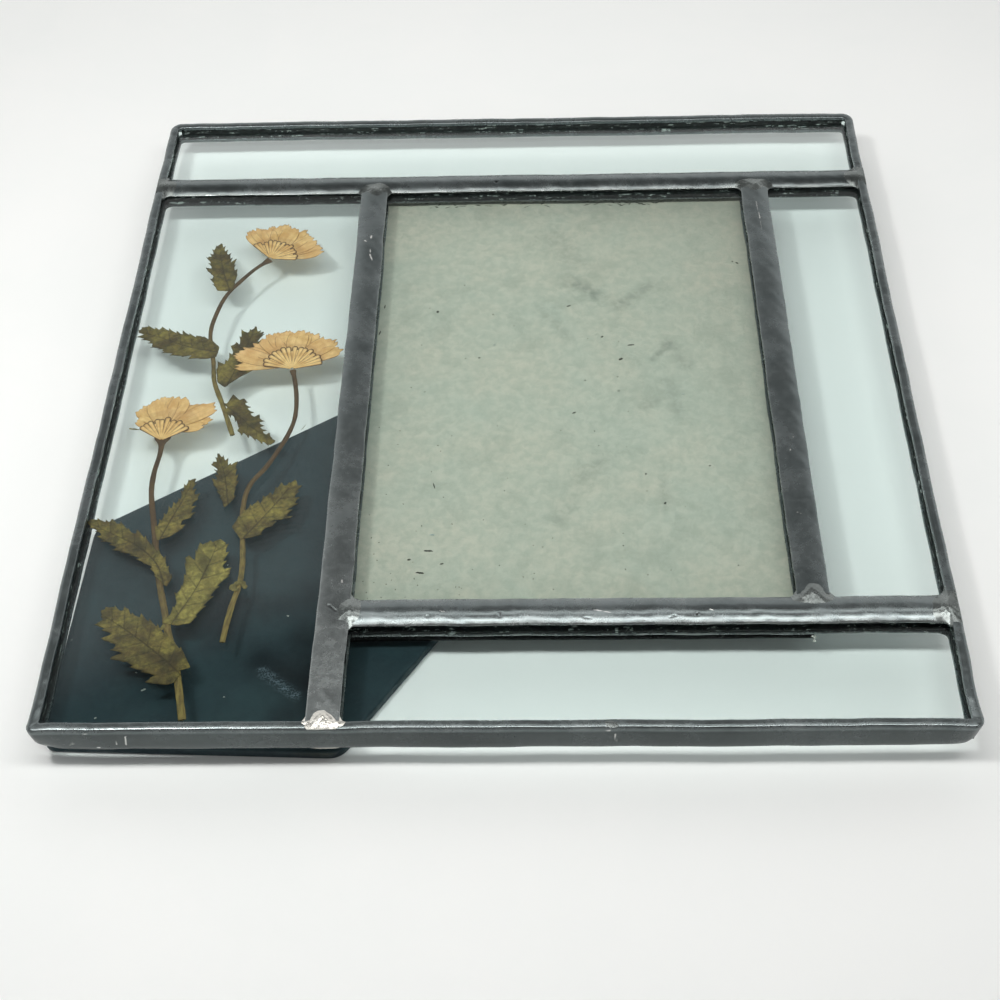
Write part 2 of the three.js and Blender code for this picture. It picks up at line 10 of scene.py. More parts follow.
import bmesh
import bpy
import numpy as np
from mathutils import Matrix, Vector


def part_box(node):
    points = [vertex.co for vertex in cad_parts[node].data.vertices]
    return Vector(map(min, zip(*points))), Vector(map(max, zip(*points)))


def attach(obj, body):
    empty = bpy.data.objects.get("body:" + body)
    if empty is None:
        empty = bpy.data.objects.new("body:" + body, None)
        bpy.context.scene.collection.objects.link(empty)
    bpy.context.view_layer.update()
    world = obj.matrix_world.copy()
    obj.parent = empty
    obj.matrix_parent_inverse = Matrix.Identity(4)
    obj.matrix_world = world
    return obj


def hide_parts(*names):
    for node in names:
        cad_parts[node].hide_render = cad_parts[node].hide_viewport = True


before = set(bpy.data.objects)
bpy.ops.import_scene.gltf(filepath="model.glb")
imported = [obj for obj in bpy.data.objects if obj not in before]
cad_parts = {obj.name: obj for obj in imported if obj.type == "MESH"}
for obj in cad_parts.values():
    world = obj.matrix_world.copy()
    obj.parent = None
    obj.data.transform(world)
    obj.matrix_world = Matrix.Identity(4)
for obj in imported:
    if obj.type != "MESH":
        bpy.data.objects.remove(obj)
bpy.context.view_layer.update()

# %% [markdown]
# ## Measures
# The maker works in millimetres from the frame's front left corner, so the lesson does too. One helper
# turns such a plan into metres in the CAD frame, whose origin is under the middle of the frame. The
# numbers repeat the CAD source's named sizes, because a finer surface has to lie where its solid is.

# %% Sizes in millimetres
FRAME_WIDTH, FRAME_HEIGHT = 170.0, 180.0
CAME_BOTTOM, CAME_TOP, CAME_MIDDLE = 5.3, 11.7, 8.5
CHANNEL = 4.4
BAR_WIDTH, HEART = 6.2, 1.3
RIM_WIDTH, RIM_WALL = 2.1, 0.9
CORNER_RADII = {"near_right": 2.6, "far_right": 3.0, "far_left": 3.0, "near_left": 1.6}
LEFT_BAR_X, RIGHT_BAR_X = 53.05, 143.25
LOW_BAR_Y, TOP_BAR_Y = 26.5, 154.8
HALF_BAR = BAR_WIDTH / 2
PLAN_CORNER = np.array([-FRAME_WIDTH / 2, -FRAME_HEIGHT / 2, 0.0])


def to_scene(plan):
    """Plan millimetres from the front left corner become metres round the frame's middle."""
    return (np.asarray(plan, float) + PLAN_CORNER) * 0.001


# %% [markdown]
# ## Camera
# The frame lies on a table and is seen from above its near side, from about 35 cm. A camera is a place
# and three axes. Working the axes out from yaw, pitch and roll keeps each of them a plain number that
# can be changed by itself.

# %% Camera
EYE = (0.0085, -0.24494, 0.25256)
YAW, PITCH, ROLL = (math.radians(angle) for angle in (-2.563, 49.095, -2.459))

ahead = np.array(
    [math.sin(YAW) * math.cos(PITCH), math.cos(YAW) * math.cos(PITCH), -math.sin(PITCH)]
)
level_side = np.cross(ahead, [0, 0, 1])
level_side /= np.linalg.norm(level_side)
level_up = np.cross(level_side, ahead)
camera_side = level_side * math.cos(ROLL) + level_up * math.sin(ROLL)
camera_up = level_up * math.cos(ROLL) - level_side * math.sin(ROLL)

lens = bpy.data.cameras.new("camera")
lens.lens, lens.sensor_width, lens.sensor_fit = 57.86, 36.0, "HORIZONTAL"
lens.clip_start, lens.clip_end = 0.01, 20.0
camera = bpy.data.objects.new("camera", lens)
turn = Matrix(np.column_stack([camera_side, camera_up, -ahead]).tolist()).to_4x4()
camera.matrix_world = Matrix.Translation(EYE) @ turn
bpy.context.scene.collection.objects.link(camera)
bpy.context.scene.camera = camera
print("camera looks along", np.round(ahead, 3))

# %% [markdown]
# ## Shader helpers
# A finish is a small network of nodes. Short helpers keep it readable: one adds a node and fills its
# inputs with values or links, and the others add what every finish needs, such as arithmetic, noise,
# and coats of colour that lie over each other as dirt and wear do on the real thing.

# %% Node helpers
def put(tree, socket, value):
    """Links a socket to another node's output, or sets the socket's own value."""
    if isinstance(value, bpy.types.NodeSocket):
        tree.links.new(value, socket)
    else:
        socket.default_value = value


def node(tree, kind, inputs=None, **settings):
    """Adds a shader node, sets its options, and fills its inputs with values or links."""
    made = tree.nodes.new("ShaderNode" + kind)
    for key, value in settings.items():
        setattr(made, key, value)
    for key, value in (inputs or {}).items():
        put(tree, made.inputs[key], value)
    return made


def sums(tree, operation, first, second=0.0):
    """One step of arithmetic."""
    return node(tree, "Math", {0: first, 1: second}, operation=operation).outputs[0]


def ranged(tree, value, low, high, new_low=0.0, new_high=1.0):
    """Maps a range onto another, smoothly, and holds it there."""
    inputs = {0: value, 1: low, 2: high, 3: new_low, 4: new_high}
    return node(tree, "MapRange", inputs, interpolation_type="SMOOTHSTEP").outputs[0]


def noise(tree, place, scale, detail, **more):
    """Soft noise with so many features per metre."""
    inputs = {"Vector": place, "Scale": scale, "Detail": detail, **more}
    return node(tree, "TexNoise", inputs).outputs[0]


def carried(tree, name):
    """A value that each piece carries at its own points."""
    return node(tree, "Attribute", attribute_name=name).outputs["Fac"]


def own_map(tree):
    """The piece's own map: first across from edge to edge, then along from root to tip."""
    return node(tree, "UVMap", uv_map="pattern").outputs[0]


print("node helpers ready")

# %% [markdown]
# Colours are given as screens show them, 0 to 255, and turned into the linear light that shaders count
# in. Wear, stains and dirt lie over a colour as thin coats, each with a mask that says where it is.

# %% Colour helpers
def mixed(tree, share, first, second):
    """The colour that lies between two others, by share."""
    return node(tree, "Mix", {0: share, 6: first, 7: second}, data_type="RGBA").outputs[2]


def coated(tree, colour, *coats):
    """A colour under thin coats, each given as its mask, its strength and its own colour."""
    for mask, strength, coat in coats:
        colour = mixed(tree, sums(tree, "MULTIPLY", mask, strength), colour, coat)
    return colour


def rgb(red, green, blue):
    """A colour as screens give it, 0 to 255, as the linear light that shaders count in."""
    share = np.array([red, green, blue]) / 255
    light = np.where(share <= 0.04045, share / 12.92, ((share + 0.055) / 1.055) ** 2.4)
    return (*light.tolist(), 1.0)


print("a screen grey of 128 is", round(rgb(128, 128, 128)[0], 3), "of white as light")

# %% [markdown]
# A node group is one effect with its own numbers, and a finish is a material. These helpers start
# both, place a group in a finish, and fill the inputs of the finish's main shader.

# %% Group and finish helpers
def new_group(name, result, **numbers):
    """An empty node group: a Vector and named numbers go in, and one mask or value comes out."""
    group = bpy.data.node_groups.new(name, "ShaderNodeTree")
    sockets = group.interface
    sockets.new_socket(name="Vector", in_out="INPUT", socket_type="NodeSocketVector")
    for key, value in numbers.items():
        made = sockets.new_socket(name=key, in_out="INPUT", socket_type="NodeSocketFloat")
        made.default_value = value
    sockets.new_socket(name=result, in_out="OUTPUT", socket_type="NodeSocketFloat")
    return group, group.nodes.new("NodeGroupInput").outputs, group.nodes.new("NodeGroupOutput")


def effect(tree, group, place, **numbers):
    """Places a node group in a material, with its own numbers, and gives its output."""
    placed = tree.nodes.new("ShaderNodeGroup")
    placed.node_tree = group
    for key, value in {"Vector": place, **numbers}.items():
        put(tree, placed.inputs[key], value)
    return placed.outputs[0]


def new_finish(name):
    """An empty material with its output, its Principled shader and Object coordinates."""
    material = bpy.data.materials.new(name)
    material.use_nodes = True
    tree = material.node_tree
    tree.nodes.clear()
    shader = node(tree, "BsdfPrincipled")
    output = node(tree, "OutputMaterial", {"Surface": shader.outputs[0]})
    return material, tree, shader, output, node(tree, "TexCoord").outputs["Object"]


def feed(tree, shader, bump=None, strength=0.3, depth=0.0002, **inputs):
    """Sets or links the Principled shader's inputs, with a height through a Bump node."""
    for key, value in inputs.items():
        put(tree, shader.inputs[key.replace("_", " ")], value)
    if bump is not None:
        relief = node(tree, "Bump", {"Strength": strength, "Distance": depth, "Height": bump})
        tree.links.new(relief.outputs[0], shader.inputs["Normal"])


print("group and finish helpers ready")

# %% [markdown]
# ## Effects shared by several finishes
# Most old surfaces share a few effects: cloudy mottling, stray specks, fine scratches, and on dried
# plants a dark edge and long fibres. Each is a node group with named inputs, so a finish can use it at
# its own size. They put out a mask or a value and leave the shader to the material.

# %% Mottling
mottling, given, out = new_group("mottling", "Value", Size=0.006, Seed=0.0)
offset = node(mottling, "CombineXYZ", {0: given["Seed"], 1: given["Seed"], 2: given["Seed"]})
place = node(
    mottling, "VectorMath", {0: given["Vector"], 1: offset.outputs[0]}, operation="ADD"
).outputs[0]
per_metre = sums(mottling, "DIVIDE", 1.0, given["Size"])
clouds = noise(mottling, place, per_metre, 5.0, Roughness=0.62, Distortion=0.35)
mottling.links.new(ranged(mottling, clouds, 0.3, 0.7), out.inputs[0])
print("group:", mottling.name)

# %% Specks
specks, given, out = new_group("specks", "Mask", Spacing=0.004, Size=0.12, Share=0.3)
per_metre = sums(specks, "DIVIDE", 1.0, given["Spacing"])
cells = node(specks, "TexVoronoi", {"Vector": given["Vector"], "Scale": per_metre})
chance = node(specks, "SeparateColor", {0: cells.outputs["Color"]})
grain_size = sums(specks, "MULTIPLY", given["Size"], chance.outputs[1])
inside = sums(specks, "LESS_THAN", cells.outputs["Distance"], grain_size)
chosen = sums(specks, "LESS_THAN", chance.outputs[0], given["Share"])
specks.links.new(sums(specks, "MULTIPLY", inside, chosen), out.inputs[0])
print("group:", specks.name)

# %% Scratches
scratches, given, out = new_group(
    "scratches", "Mask", Length=0.02, Gap=0.002, Turn=0.6, Thin=0.012
)
turned = node(
    scratches, "VectorRotate", {"Vector": given["Vector"], "Angle": given["Turn"]},
    rotation_type="Z_AXIS",
).outputs[0]
lengthways = sums(scratches, "DIVIDE", 1.0, given["Length"])
crossways = sums(scratches, "DIVIDE", 1.0, given["Gap"])
stretch = node(scratches, "CombineXYZ", {0: lengthways, 1: crossways, 2: crossways}).outputs[0]
drawn = node(scratches, "VectorMath", {0: turned, 1: stretch}, operation="MULTIPLY").outputs[0]
lines = noise(scratches, drawn, 1.0, 2.0)
from_middle = sums(scratches, "ABSOLUTE", sums(scratches, "SUBTRACT", lines, 0.5))
line_mask = ranged(scratches, from_middle, 0.0, given["Thin"], 1.0, 0.0)
patches = ranged(scratches, noise(scratches, given["Vector"], 90.0, 1.0), 0.5, 0.66)
scratches.links.new(sums(scratches, "MULTIPLY", line_mask, patches), out.inputs[0])
print("group:", scratches.name)

# %% Dark edges of dried petals, bracts and leaves
dry_edge, given, out = new_group("dry_edge", "Mask", Side=0.2, Tip=0.1)
uv = node(dry_edge, "SeparateXYZ", {0: given["Vector"]}).outputs
from_middle = node(dry_edge, "Math", {0: uv[0], 1: 2.0, 2: -1.0}, operation="MULTIPLY_ADD")
across = sums(dry_edge, "ABSOLUTE", from_middle.outputs[0])
side = ranged(dry_edge, across, sums(dry_edge, "SUBTRACT", 1.0, given["Side"]), 1.0)
tip = ranged(dry_edge, uv[1], sums(dry_edge, "SUBTRACT", 1.0, given["Tip"]), 1.0)
dry_edge.links.new(sums(dry_edge, "MAXIMUM", side, tip), out.inputs[0])
print("group:", dry_edge.name)

# %% Long fibres of dried plants
fibres, given, out = new_group("fibres", "Value", Count=12.0, Along=1.5)
counts = node(fibres, "CombineXYZ", {0: given["Count"], 1: given["Along"], 2: 1.0}).outputs[0]
strands = node(fibres, "VectorMath", {0: given["Vector"], 1: counts}, operation="MULTIPLY")
threads = noise(fibres, strands.outputs[0], 1.0, 3.0)
fibres.links.new(ranged(fibres, threads, 0.35, 0.65), out.inputs[0])
print("group:", fibres.name)

# %% [markdown]
# ## Patinated lead
# New lead is bright. A wash of patina turns it dark grey, and handling rubs it pale again on the ridges
# and wherever something hard has touched it. The finish mixes two greys by mottling, and adds what each
# piece carries as attributes: its wear (above 0 rubbed, below 0 dirty, and on the rim's outer face and
# the low pocket strip also painted shade) and its marks (above 0 a bright scratch, below 0 a dark pit).
# The roughness follows the same clouds, so that highlights break up.

# %% Lead and solder finishes
RUBBED, SCRATCHED, PITTED_AND_SHADED = rgb(206, 209, 206), rgb(240, 240, 236), rgb(14, 16, 16)


def lead_finish(name, dark, light, smooth, rough, size, ripples, metal):
    """Grey metal: mottled between two greys, rubbed, scratched, pitted, darkened by dirt and painted
    shade, and slightly rippled.
    """
    material, tree, shader, _, place = new_finish(name)
    marks, wear_and_shade = carried(tree, "mark"), carried(tree, "wear_and_shade")
    broad = effect(tree, mottling, place, Size=size)
    fine = effect(tree, mottling, place, Size=size / 9, Seed=0.31)
    clouds = sums(tree, "ADD", sums(tree, "MULTIPLY", broad, 0.7), sums(tree, "MULTIPLY", fine, 0.3))
    hairs = effect(tree, scratches, place, Length=0.012, Gap=0.0008, Turn=0.2, Thin=0.005)
    dots = effect(tree, specks, place, Spacing=0.0026, Size=0.1, Share=0.1)
    grey = coated(
        tree, mixed(tree, clouds, dark, light),
        (wear_and_shade, ranged(tree, clouds, 0.0, 1.0, 0.6, 1.0), RUBBED),
        # Below 0 the wear paints the dark coat: dirt, and on the rim's outer face and the low pocket
        # strip also painted shade.
        (ranged(tree, wear_and_shade, 0.0, -1.0), 1.0, PITTED_AND_SHADED),
        (hairs, 0.2, RUBBED),
        (dots, 0.5, PITTED_AND_SHADED),
        (ranged(tree, marks, 0.15, 0.7), 1.0, SCRATCHED),
        (ranged(tree, marks, -0.15, -0.7), 1.0, PITTED_AND_SHADED),
    )
    grain = noise(tree, place, 420.0, 3.0, Roughness=0.5)
    feed(
        tree, shader, bump=sums(tree, "ADD", grain, sums(tree, "MULTIPLY", marks, 0.6)),
        strength=ripples, depth=0.00025, Base_Color=grey,
        Roughness=ranged(tree, clouds, 0.0, 1.0, smooth, rough), Metallic=metal,
    )
    return material


LEAD = lead_finish(
    "patinated_lead", rgb(91, 99, 99), rgb(108, 116, 117), 0.20, 0.31, 0.011, 0.05, 0.8
)
DARK_SOLDER = lead_finish(
    "patinated_solder", rgb(100, 106, 104), rgb(132, 137, 135), 0.20, 0.31, 0.004, 0.12, 0.8
)
BRIGHT_SOLDER = lead_finish(
    "bright_solder", rgb(196, 194, 186), rgb(244, 241, 232), 0.16, 0.28, 0.003, 0.16, 0.75
)
print("finishes:", LEAD.name, DARK_SOLDER.name, BRIGHT_SOLDER.name)

# %% [markdown]
# ## Clear glass
# Window glass is almost colourless through its face and green through its edge, because the tint grows
# with the distance that light travels in it. So the surface has plain transmission and the tint is an
# absorption inside it. Real refraction would block the lamps, so for the rays that look for light, those
# sent to a lamp and those that leave a dull surface, the glass is plainly transparent instead, with a
# little of the light lost at each face. The table and the leg under the panes stay lit.

# %% Glass finish
GLASS_TINT = (0.50, 0.985, 0.905, 1.0)
GLASS_DENSITY = 35.0
GLASS_PASSED = (0.99, 1.0, 0.998, 1.0)
PANE_GLASS, tree, shader, output, place = new_finish("clear_glass")
feed(
    tree, shader, bump=noise(tree, place, 22.0, 1.0), strength=0.05, depth=0.0004, Roughness=0.0,
    Metallic=0.0, Base_Color=(1.0, 1.0, 1.0, 1.0), IOR=1.5, Transmission_Weight=1.0,
)
rays = node(tree, "LightPath").outputs
seeking = sums(tree, "MAXIMUM", rays["Is Shadow Ray"], rays["Is Diffuse Ray"])
open_way = node(tree, "BsdfTransparent", {"Color": GLASS_PASSED}).outputs[0]
either = node(tree, "MixShader", {0: seeking, 1: shader.outputs[0], 2: open_way})
tree.links.new(either.outputs[0], output.inputs["Surface"])
tint = node(tree, "VolumeAbsorption", {"Color": GLASS_TINT, "Density": GLASS_DENSITY})
tree.links.new(tint.outputs[0], output.inputs["Volume"])

PANES = [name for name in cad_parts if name.startswith("glass_")]
for pane in PANES:
    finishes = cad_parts[pane].data.materials
    finishes.clear()
    finishes.append(PANE_GLASS)
print("panes with a glass finish:", sorted(PANES))

# %% [markdown]
# ## Surfaces from arrays
# Every new piece is a grid of points worked out at once with numpy: either a profile carried along a
# path, or a function of two parameters. These helpers join a grid's points with faces and measure
# paths.

# %% Grid and path helpers
def grid_faces(rows, columns, wrap_rows=False, wrap_columns=False, copies=1):
    """Four-sided faces that join neighbours on a grid; a wrapped direction closes on itself."""
    row = np.arange(rows if wrap_rows else rows - 1)[:, None]
    column = np.arange(columns if wrap_columns else columns - 1)[None, :]
    next_row, next_column = (row + 1) % rows, (column + 1) % columns
    corners = [(row, column), (row, next_column), (next_row, next_column), (next_row, column)]
    faces = np.stack([r * columns + c for r, c in corners], -1).reshape(-1, 4)
    shifts = np.arange(copies)[:, None, None] * rows * columns
    return (faces[None] + shifts).reshape(-1, 4).tolist()


def tube_faces(points):
    """The faces of a closed profile that is carried along a line, with a lid on either end."""
    rows, columns = points.shape[:2]
    last = (rows - 1) * columns
    lids = [[*range(columns)], [*range(last, last + columns)]]
    return grid_faces(rows, columns, wrap_columns=True) + lids


def stacked(*axes):
    """Arrays of x, of y and of z (or of u and v), spread to one shape and joined point by point."""
    return np.stack(np.broadcast_arrays(*axes), -1)


def unit(vectors):
    """The same directions, each of length 1."""
    return vectors / np.linalg.norm(vectors, axis=-1, keepdims=True)


def run_along(path):
    """How far along a path each of its points is."""
    return np.concatenate([[0], np.cumsum(np.linalg.norm(np.diff(path, axis=0), axis=1))])


def sampled(at, known, path):
    """A path's points where its own measure has the values asked for, by linear steps."""
    return np.column_stack([np.interp(at, known, axis) for axis in path.T])


print("a 3 by 3 grid has", len(grid_faces(3, 3)), "faces")

# %% [markdown]
# A piece is a mesh of such points with its attributes and its finish. Doubles are merged, so that poles
# and seams are closed. Each piece says which body it rides on and which CAD nodes it stands for.

# %% Piece helpers
SAME_PLACE = 1e-7


def make_piece(
    name, points, faces, finish, stands_for=(), body="frame", attributes=None, uv=None,
    crease=38.0,
):
    """Makes a mesh of computed points, with its finish, its body and the nodes it stands for."""
    mesh = bpy.data.meshes.new(name)
    mesh.from_pydata(to_scene(points).reshape(-1, 3).tolist(), [], faces)
    for key, values in (attributes or {}).items():
        layer = mesh.attributes.new(key, "FLOAT", "POINT")
        layer.data.foreach_set("value", np.asarray(values, np.float32).ravel())
    if uv is not None:
        users = np.empty(len(mesh.loops), np.int32)
        mesh.loops.foreach_get("vertex_index", users)
        flat = np.asarray(uv, np.float32).reshape(-1, 2)[users]
        mesh.uv_layers.new(name="pattern").data.foreach_set("uv", flat.ravel())
    work = bmesh.new()
    work.from_mesh(mesh)
    bmesh.ops.remove_doubles(work, verts=work.verts, dist=SAME_PLACE)
    bmesh.ops.recalc_face_normals(work, faces=work.faces)
    work.to_mesh(mesh)
    work.free()
    mesh.shade_smooth()
    mesh.set_sharp_from_angle(angle=math.radians(crease))
    mesh.materials.append(finish)
    piece = bpy.data.objects.new(name, mesh)
    bpy.context.scene.collection.objects.link(piece)
    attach(piece, body)
    if stands_for:
        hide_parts(*stands_for)
    return piece


def thicken(piece, thickness):
    """Gives an open sheet its thickness, half to each side."""
    wall = piece.modifiers.new("thickness", "SOLIDIFY")
    wall.thickness, wall.offset = thickness * 0.001, 0.0
    return piece


print("piece helpers ready")

# %% [markdown]
# Nothing worked by hand is even. Broad unevenness is a sum of a few sine waves, single scratches and
# pits are placed one by one, and a profile's corners are rounded by short curves.

# %% Unevenness, marks and rounded corners
WAVE_COUNT = 6


def ripple(distance, seed, longest, shortest, around=None):
    """Hand-worked unevenness, about -1 to 1: sines from the longest wave to the shortest, each
    weighted by the square root of its length, with seeded phases. Around a closed path, every wave
    fits a whole number of times."""
    waves = np.geomspace(longest, shortest, WAVE_COUNT)
    if around is not None:
        waves = around / np.round(around / waves)
    phases = np.random.default_rng(seed).uniform(0, 2 * np.pi, WAVE_COUNT)
    weights = np.sqrt(waves / waves[0])
    turns = 2 * np.pi * np.asarray(distance)[..., None] / waves + phases
    return (np.sin(turns) * weights).sum(-1) / weights.sum() * 1.5


def on_level(height, marks):
    """Marks on a level face, written in plan: from x, y to x, y, then radius and strength."""
    return [(x0, y0, height, x1, y1, height, *rest) for x0, y0, x1, y1, *rest in marks]


def mark_field(points, marks):
    """How strongly listed marks touch each point. A mark runs between two points and fades as
    exp(-(distance / radius)^2); above 0 it is a bright scratch and below 0 a dark pit."""
    field = np.zeros(points.shape[:-1])
    for x0, y0, z0, x1, y1, z1, radius, strength in marks:
        start, run = np.array([x0, y0, z0]), np.array([x1 - x0, y1 - y0, z1 - z0])
        share = ((points - start) @ run / max(run @ run, 1e-9)).clip(0, 1)
        gap = np.linalg.norm(points - start - share[..., None] * run, axis=-1)
        field += strength * np.exp(-((gap / radius) ** 2))
    return field.clip(-1, 1)


def rounded_loop(corners, radii, steps=5):
    """A closed outline whose corners are rounded: from a point short of each corner to one past it,
    along (1-t)^2 A + 2t(1-t) C + t^2 B."""
    corners = np.asarray(corners, float)
    before, after = np.roll(corners, 1, 0) - corners, np.roll(corners, -1, 0) - corners
    reach = np.broadcast_to(np.asarray(radii, float), len(corners))[:, None]
    start, end = corners + unit(before) * reach, corners + unit(after) * reach
    t = np.linspace(0, 1, steps)[None, :, None]
    bend = (1 - t) ** 2 * start[:, None] + 2 * t * (1 - t) * corners[:, None] + t**2 * end[:, None]
    return bend.reshape(-1, 2)


print("a ripple's first steps:", np.round(ripple(np.arange(4.0), 1, 60, 4), 2))

# %% [markdown]
# ## The four bars
# A bar is an H of lead: two crowned flanges on an upright heart, with a channel on each side for the
# glass. It could be a stretched CAD block, but drawn lead is never straight. So the H is carried along
# its line, and each station is nudged: the line wanders by a tenth of a millimetre, the width breathes,
# and the face is dented where a tool slipped. The two bars beside the window were pressed flatter.

# %% Marks on the bars
FACE, CREST = 11.6, 11.7
TOP_BAR_MARKS = on_level(FACE, [
    (82.0, 154.3, 82.1, 154.3, 0.35, -1.0), (66.0, 155.6, 69.0, 155.9, 0.15, 0.3),
    (118.0, 156.0, 123.0, 155.7, 0.15, 0.3),
])
LOW_BAR_MARKS = on_level(FACE, [
    (84.5, 25.7, 84.6, 24.6, 0.16, -1.0), (100.4, 24.6, 101.6, 24.4, 0.2, -0.9),
    (116.1, 24.5, 117.0, 24.8, 0.2, -0.9), (121.2, 25.3, 121.3, 25.0, 0.18, -0.9),
    (70.9, 25.2, 71.1, 24.5, 0.16, -0.8),
]) + on_level(CREST, [
    (101.9, 26.3, 105.6, 25.5, 0.12, 0.7), (73.2, 26.3, 74.4, 25.9, 0.12, 0.6),
    (123.6, 26.2, 124.2, 26.0, 0.12, 0.8),
])
LEFT_BAR_MARKS = on_level(CREST, [
    (53.3, 134.9, 53.3, 134.2, 0.2, 1.0), (51.9, 133.3, 52.2, 133.1, 0.18, 0.9),
    (53.3, 130.2, 53.45, 129.2, 0.15, 0.8), (53.4, 128.4, 53.75, 127.3, 0.16, 1.0),
    (53.75, 127.3, 54.1, 126.3, 0.14, 0.9),
]) + on_level(FACE, [
    (52.2, 27.6, 53.6, 26.3, 0.4, -0.5), (54.2, 33.8, 54.3, 33.2, 0.2, 0.7),
    (50.5, 19.8, 54.5, 19.5, 0.14, 0.3), (50.5, 15.3, 54.4, 14.9, 0.14, 0.3),
    (50.6, 11.6, 54.4, 11.2, 0.14, 0.35), (50.6, 8.7, 54.4, 8.3, 0.14, 0.4),
    (50.6, 7.2, 54.4, 6.8, 0.14, 0.35),
])
RIGHT_BAR_MARKS = on_level(CREST, [
    (143.14, 145.5, 143.3, 142.1, 0.13, 0.5), (143.35, 141.6, 143.5, 139.4, 0.16, 0.6),
    (143.5, 138.4, 143.5, 135.2, 0.1, 0.45), (142.8, 66.4, 142.8, 66.1, 0.15, 0.7),
    (143.8, 70.0, 143.8, 69.7, 0.15, 0.6), (142.0, 49.9, 143.1, 49.4, 0.12, 0.6),
])
print("marks on the left bar:", len(LEFT_BAR_MARKS))

# %% Bars
CROWN, FLAT_CROWN, CROWN_POWER, FACE_POINTS = 0.85, 0.45, 2.0, 17
STATION_GAP, WANDER, BREATH, FACE_RIPPLE, DENT_DEPTH = 0.3, 0.10, 0.022, 0.035, 0.18
PLAIN_WEAR, EDGE_WEAR, FLAT_EDGE_WEAR, FOOT_WEAR, FOOT_REACH = 0.05, 0.30, 0.05, 0.24, 50
BUTT, INSIDE_RIM = HALF_BAR + 0.3, RIM_WIDTH + 0.1
BARS = {  # bar: runs along X, start, end, its middle line, seed, marks
    "top_bar": (True, INSIDE_RIM, FRAME_WIDTH - INSIDE_RIM, TOP_BAR_Y, 11, TOP_BAR_MARKS),
    "left_bar": (False, INSIDE_RIM, TOP_BAR_Y - BUTT, LEFT_BAR_X, 23, LEFT_BAR_MARKS),
    "right_bar": (False, LOW_BAR_Y + BUTT, TOP_BAR_Y - BUTT, RIGHT_BAR_X, 37, RIGHT_BAR_MARKS),
    "low_bar": (True, LEFT_BAR_X + BUTT, FRAME_WIDTH - INSIDE_RIM, LOW_BAR_Y, 41, LOW_BAR_MARKS),
}


def bar_section(crown):
    """The H: on the faces, height = half - crown (across / half-width)^2; square channels."""
    across = np.linspace(-HALF_BAR, HALF_BAR, FACE_POINTS)
    half, channel, heart = (CAME_TOP - CAME_BOTTOM) / 2, CHANNEL / 2, HEART / 2
    face = half - crown * np.abs(across / HALF_BAR) ** CROWN_POWER
    upper = np.column_stack([across, face])
    right = [(HALF_BAR, channel), (heart, channel), (heart, -channel), (HALF_BAR, -channel)]
    left = [(-HALF_BAR, -channel), (-heart, -channel), (-heart, channel), (-HALF_BAR, channel)]
    radii = [0.07, *[0.08] * (FACE_POINTS - 2), 0.07, 0.06, 0.2, 0.2, 0.06]
    return rounded_loop(np.vstack([upper, right, -upper, left]), radii * 2, 3)


def turned_along(points, along_x):
    """Points worked out along X, kept as they are or turned to run along Y."""
    return points if along_x else points[..., [1, 0, 2]]


def make_bar(name, along_x, start, end, line, seed, marks):
    """point(i, j) = station i on the line + section j across and up, nudged by ripples. The edges
    are rubbed by the sixth power of the way out to them, and a bar's foot by hands."""
    section = bar_section(CROWN if along_x else FLAT_CROWN)
    stations = np.arange(start, end, STATION_GAP)[:, None]
    across, height = section[None, :, 0], section[None, :, 1]
    on_face = (np.abs(height) > CHANNEL / 2 + 0.1) * np.sign(height)
    across = across * (1 + BREATH * ripple(stations, seed + 1, 30, 5))
    across = across + WANDER * ripple(stations, seed, 70, 9)
    height = height + on_face * FACE_RIPPLE * ripple(stations + across * 1.5, seed + 2, 34, 4)
    points = turned_along(stacked(stations, across + line, CAME_MIDDLE + height), along_x)
    field = mark_field(points, marks)
    points[..., 2] += field.clip(-1, 0) * DENT_DEPTH
    rubbed_edge = EDGE_WEAR if along_x else FLAT_EDGE_WEAR
    edge_wear = PLAIN_WEAR + rubbed_edge * (np.abs(section[:, 0]) / HALF_BAR) ** 6
    at_the_foot = not along_x and start == INSIDE_RIM
    handled = FOOT_WEAR * np.exp(-(((stations - start) / FOOT_REACH) ** 2)) * at_the_foot
    wear_and_shade = edge_wear[None] * (1 + 0.5 * ripple(stations, seed + 5, 16, 1.5)) + handled
    piece = make_piece(
        f"{name}_lead", points, tube_faces(points), LEAD, [f"{name}_came"],
        attributes={"mark": field, "wear_and_shade": wear_and_shade.clip(0, 1)},
    )
    print(name, "faces:", len(piece.data.polygons))


for name, measures in BARS.items():
    make_bar(name, *measures)

# %% [markdown]
# ## The rim
# One U of lead is bent round the whole frame by hand, pressed over the glass at the corners and closed
# with a seam at the near side. Each corner has its own radius. The outline is therefore a function of
# how far along the rim and how far in from its edge a point is, and the U's profile is carried round it.
# Its ridge is a little rubbed, and its outer face, where nothing rubs it, is darkened, as dirt and as
# painted shade.

